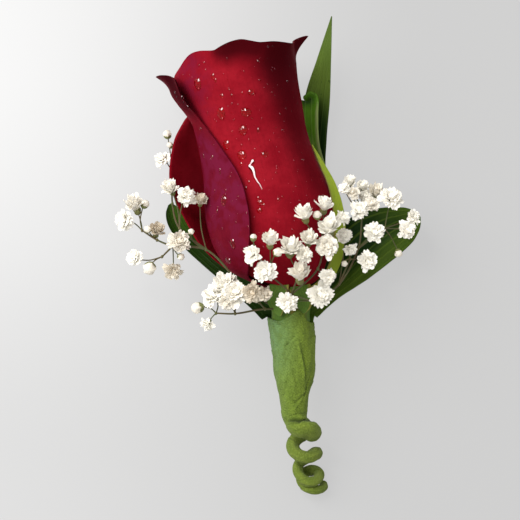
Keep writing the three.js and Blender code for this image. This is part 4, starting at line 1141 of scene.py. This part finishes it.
def add_floret(form, foot, face, size, draw, tone, cup):
    """A double flower of size millimetres on its calyx. Look 0 is the petals, 1 the calyx."""
    roll = draw.uniform(0, 2 * math.pi)
    put = flower_place(foot, face, roll)
    angle = ring_angles(FLORET_SIDES)
    teeth = 1 + 0.16 * np.cos(5 * angle)
    rings = [put(size * r * (teeth if h > 0.2 else 1), angle, size * h) for r, h in CALYX]
    add_rings(form, np.array(rings), (0, 0, 0.55), 1)
    lumps = 1 + 0.16 * np.sin(3 * angle + roll) + 0.1 * np.sin(5 * angle)
    lift = size * (CUP_HEART if cup else 1)
    rings = [put(size * r * lumps, angle, lift * (h + 0.03 * np.cos(4 * angle))) for r, h in HEART]
    add_rings(form, np.array(rings), (0.3, 0.8, tone), 0)
    for n, (count, reach, high, half, arch) in enumerate(CUP if cup else OPEN):
        for j in range(count):
            around = 2 * math.pi * (j + 0.5 * (n % 2)) / count + draw.normal(0, 0.22)
            out = size * reach * draw.uniform(0.74, 1.14)
            top = size * (high + draw.normal(0, 0.05))
            width = size * half * draw.uniform(0.85, 1.15)
            twist = draw.normal(0, 0.4)
            ruffle = draw.uniform(0, 2 * math.pi)
            notch = draw.uniform(0.05, 0.26)
            bend = draw.normal(0, 0.09)

            def place(s, t, depth):
                far = t * (1 - 0.24 * s * s - notch * bell(s, 0, 0.3) * t**3)
                start = 0.04 * size
                radius = start + (out - start) * far**1.15
                height = 0.2 * size + (top - 0.2 * size) * far + 0.8 * size * arch * np.sin(math.pi * far)
                half_here = width * (0.24 + 0.94 * t**0.8 - 0.2 * t**4)
                side = s * half_here
                height = height + 0.25 * half_here * s * s + twist * side - depth * FLORET_THICKNESS
                height = height + 0.035 * size * np.sin(4.2 * s + ruffle) * far**2 + size * bend * far**4
                return put(np.hypot(radius, side), around + np.arctan2(side, radius), height)

            add_sheet(form, place, *FLORET_GRID, lambda s, t: tone + 0 * t)


def add_bud(form, foot, face, size):
    """A closed bud on its calyx."""
    put = flower_place(foot, face)
    angle = ring_angles(BUD_SIDES)

    def rings(outline, lobes):
        wide = size * (1 + lobes * np.cos(5 * angle))
        return np.array([put(r * wide, angle, size * h) for r, h in outline])

    add_rings(form, rings(BUD_CALYX, 0.06), (0, 0, 0.6), 1)
    along = np.linspace(0.3, 1, len(BUD_PETALS))[:, None]
    grain = np.stack(np.broadcast_arrays(np.cos(5 * angle), along, BUD_TONE), -1)
    add_rings(form, rings(BUD_PETALS, 0.13), grain, 0)


def runs(forks):
    """Unbroken runs of forks: each ends where another one already goes on."""
    made = [[0]]
    for i, fork in enumerate(forks[1:], 1):
        run = next((r for r in made if r[-1] == fork[0]), None)
        if run is None:
            made.append([fork[0], i])
        else:
            run.append(i)
    return made


def spray(name, materials):
    """A sprig: its twigs with a knot at each fork, and a stalk to each floret and bud."""
    data = SPRAYS[name]
    draw = np.random.default_rng(sum(map(ord, name)))
    form = Form()
    forks = np.array([f[1:] for f in data["forks"]], float)
    for k, run in enumerate(runs(data["forks"])):
        control = forks[run]
        t = np.linspace(0, 1, 8 * len(run))
        line = curve(control, t) if len(run) > 2 else control[0] + (control[1] - control[0]) * t[:, None]
        radii = np.interp(t, [0, 1], [TWIG_RADII[min(k, 1)], TWIG_RADII[2]])
        add_tube(form, line, radii, TWIG_SIDES, look=1)
    for fork in forks[2:]:
        along = np.linspace(-KNOT_HALF, KNOT_HALF, len(KNOT_RADII))[:, None]
        add_tube(form, fork + along * np.array([0.2, 0.95, 0.1]), KNOT_RADII, TWIG_SIDES, (0, 0, 0.25), 1)

    def stalk(fork, foot, face):
        start = forks[fork]
        behind = foot - face * 0.3 * np.linalg.norm(foot - start)
        middle = start + (behind - start) * 0.62
        line = curve([start, middle, foot + 0.05 * face], np.linspace(0, 1, STALK_STEPS))
        add_tube(form, line, np.linspace(*STALK_RADII, STALK_STEPS), STALK_SIDES, (0, 0, 0.1), 1)

    for fork, U, V, W, size, turn, rise, *beige in data["florets"]:
        face = facing(turn, rise)
        cup = rise >= CUP_RISE
        size *= CUP_GROWN if cup else 1
        foot = np.array([U, V, W]) - face * (CUP_FOOT if cup else OPEN_FOOT) * size
        stalk(fork, foot, face)
        shade = float(np.clip(draw.normal(*BEIGE), 0, 0.6))
        # A listed beige is partly painted shade on a floret that lies in shade.
        add_floret(form, foot, face, size, draw, beige[0] if beige else shade, cup)
    for fork, U, V, W, size, turn, rise in data["buds"]:
        face = facing(turn, rise)
        foot = np.array([U, V, W]) - face * BUD_FOOT * size
        stalk(fork, foot, face)
        add_bud(form, foot, face, size)
    form.piece("sprig_" + name, [name], materials, FLORET_SHARP)


def curl_point(turns):
    """Middle and radius of the taped wire at a turn of the curl."""
    u, v, turn, radius = (keyed(CURL, turns, column) for column in (1, 2, 3, 4))
    angle = 2 * math.pi * turns
    w = CURL_AXIS_START[1] + (v - CURL_AXIS_START[0]) * math.tan(CURL_TILT)
    front = turn * np.cos(angle)
    along = v - front * math.sin(CURL_TILT) + keyed(CURL_SLIDE, turns)
    return np.stack([u + turn * np.sin(angle), along, w + front * math.cos(CURL_TILT)], -1), radius


CURL_TURNS = np.linspace(CURL[0][0], CURL[-1][0], CURL_STEPS + 1)


def tape():
    """The wound tape as one skin, from its top edge down the handle to the end of the curl."""
    curl, curl_radius = curl_point(CURL_TURNS)
    handle = np.array(HANDLE)
    control = np.vstack([handle[:, :3], curl])
    control_radius = np.concatenate([handle[:, 3], curl_radius])
    t = np.linspace(0, 1, TAPE_ROWS)
    step = np.linalg.norm(np.diff(curve(control, t), axis=0), axis=1)
    length = np.concatenate([[0], np.cumsum(step)])
    along = np.linspace(0, length[-1], TAPE_ROWS)
    even = np.interp(along, length, t)
    line = curve(control, even)
    last = len(control) - 1
    radius = np.interp(even * last, range(len(control)), control_radius)
    handle_end = np.interp((len(HANDLE) - 1) / last, even, along)
    across, other = frames(line)
    A, L = np.meshgrid(np.linspace(-math.pi, math.pi, TAPE_SIDES, endpoint=False), along)
    height = line[:, 1][:, None] + 0 * A
    in_handle = climb(L, handle_end, -3)
    on_curl = 1 - in_handle
    around = A * radius[:, None]
    rise = np.zeros_like(A)
    # fold_shade: painted shade along the tape's seams, in its creases, in the tuck and inside the mouth.
    fold_shade = np.zeros_like(A)
    for start, slope in SEAMS:
        edge = start + slope * (A / math.pi) - height
        rise += in_handle * SEAM_STEP * np.where(edge > 0, np.exp(-np.clip(edge, 0, None) / 3.5), 0)
        fold_shade += in_handle * 0.22 * bell(edge, -0.12, 0.25)
    turn = (L - handle_end) / WRAP - A / (2 * math.pi)
    saw = turn - np.floor(turn)
    rise += on_curl * COIL_STEP * (1 - saw) * climb(saw, 0, 0.04)
    fold_shade += on_curl * 0.5 * bell(np.minimum(saw, 1 - saw), 0, 0.03)
    wrinkle = waves(around * 0.8, L * 4.2, 5, 9) * 0.07 * in_handle * np.clip((height + 9) / 6, 0.25, 1)
    wrinkle += waves(around * 2.4, L * 0.7, 6, 9) * 0.05
    wrinkle += waves(around * 0.5, L * 0.45, 7, 6) * 0.14 * in_handle
    for place, middle, slant, long, wide, high in CREASES:
        off = around - place - slant * (height - middle)
        ridge = high * bell(off, 0, wide) * bell(height, middle, long, 4) * in_handle
        wrinkle += ridge
        fold_shade += np.clip(-1.4 * ridge, 0, 0.6)
    pinch = bell(np.degrees(A), 62, 26) * bell(height, -15.5, 1.6) * in_handle
    tuck = bell(height + TUCK_SLANT * A, TUCK_HEIGHT, TUCK_WIDTH) * bell(A, 0.4, 1.5, 4)
    # Painted shade in the tuck.
    fold_shade += 0.95 * tuck
    pressed = PINCH_DEPTH * pinch + TUCK_DEPTH * tuck
    reach = (radius[:, None] + rise + wrinkle - pressed - 0.1)[..., None]
    out = across[:, None] * np.cos(A)[..., None] - other[:, None] * np.sin(A)[..., None]
    rings = line[:, None] + reach * out
    top = HANDLE[0][1]
    rings[..., 1] += (keyed(TOP_EDGE, np.degrees(A)) - top) * climb(height, -4, top + 4) ** 2
    grain = np.stack([around, L, np.clip(fold_shade, 0, 1)], -1)
    mouth = []
    for k, (inset, sink) in enumerate(MOUTH):
        inward = line[0] - rings[0]
        inward[:, 1] = 0
        ring = rings[0] + unit(inward) * inset
        ring[:, 1] += sink
        if k > 2:
            ring[:, 1] = (1 - MOUTH_LEVEL) * ring[:, 1] + MOUTH_LEVEL * ring[:, 1].mean()
        mouth.append(ring)
    mouth = np.array(mouth[::-1])
    mouth_grain = np.broadcast_to(grain[0], mouth.shape).copy()
    # Painted shade inside the mouth.
    mouth_grain[..., 2] = 0.5
    form = Form()
    add_rings(form, np.concatenate([mouth, rings]), np.concatenate([mouth_grain, grain]))
    form.piece("wound_tape", ["stem_tape"], [tape_look()], TAPE_SHARP)


def wire():
    """The enamelled wire inside the tape, from beside the stem to just before the end of the curl."""
    curl, _ = curl_point(CURL_TURNS[:-2])
    control = np.vstack([WIRE_START, np.array(HANDLE)[WIRE_JOINS:, :3], curl])
    form = Form()
    add_tube(form, curve(control, np.linspace(0, 1, WIRE_STEPS)), WIRE_RADIUS, WIRE_SIDES)
    form.piece("taped_wire", ["florist_wire"], [wire_look()])


def studio():
    """A plain pale floor that mostly glows, its greys painted as light falling off from the upper left;
    soft light from the upper left, and the camera above.
    """
    scene = bpy.context.scene
    mesh = bpy.data.meshes.new("floor")
    far = FLOOR_REACH
    corners = [(x, y, -0.1 * MM) for x, y in ((-far, -far), (far, -far), (far, far), (-far, far))]
    mesh.from_pydata(corners, [], [(0, 1, 2, 3)])
    floor = bpy.data.objects.new("floor", mesh)
    scene.collection.objects.link(floor)
    look = Look("floor_paper", Roughness=0.9, Specular_IOR_Level=0.1)
    x, y, _ = look.axes()
    width = FRAME_WIDTH * MM
    side = look.plus(x, look.times(look.cloud(6.0, 2.0), 0.02))
    low_left, high_left, right = ((grey,) * 3 for grey in FLOOR_GREYS)
    # Painted light: the floor's greys fall off from the upper left.
    glow = look.paint(
        low_left,
        (y, -width * 0.4, width * 0.4, 1.0, high_left),
        (side, -width * 0.55, width * 0.4, 1.0, right),
    )
    look.set(look.shader, {"Emission Color": glow, "Emission Strength": FLOOR_GLOW})
    mesh.materials.append(look.finish(look.mix(1 - FLOOR_GLOW, (0.0, 0.0, 0.0), glow)))

    world = bpy.data.worlds.new("studio")
    world.use_nodes = True
    world.node_tree.nodes["Background"].inputs["Color"].default_value = SKY
    world.node_tree.nodes["Background"].inputs["Strength"].default_value = SKY_STRENGTH
    scene.world = world
    scene.view_settings.view_transform = "Standard"

    for name, at, width, power, colour in LAMPS:
        data = bpy.data.lights.new(name, "AREA")
        data.shape = "SQUARE"
        data.size = width
        data.energy = power
        data.color = colour
        lamp = bpy.data.objects.new(name, data)
        lamp.location = at
        lamp.rotation_mode = "QUATERNION"
        lamp.rotation_quaternion = (-Vector(at)).to_track_quat("-Z", "Y")
        scene.collection.objects.link(lamp)

    data = bpy.data.cameras.new("camera")
    data.sensor_width = SENSOR
    data.lens = LENS
    camera = bpy.data.objects.new("camera", data)
    camera.location = EYE
    camera.rotation_euler = (LIE_SLOPE, 0, 0)
    scene.collection.objects.link(camera)
    scene.camera = camera


studio()
water(rose())
calyx()
for leaf_name in LEAVES:
    leaf(leaf_name)
floret_looks = [floret_look(), twig_look()]
for spray_name in SPRAYS:
    spray(spray_name, floret_looks)
tape()
wire()
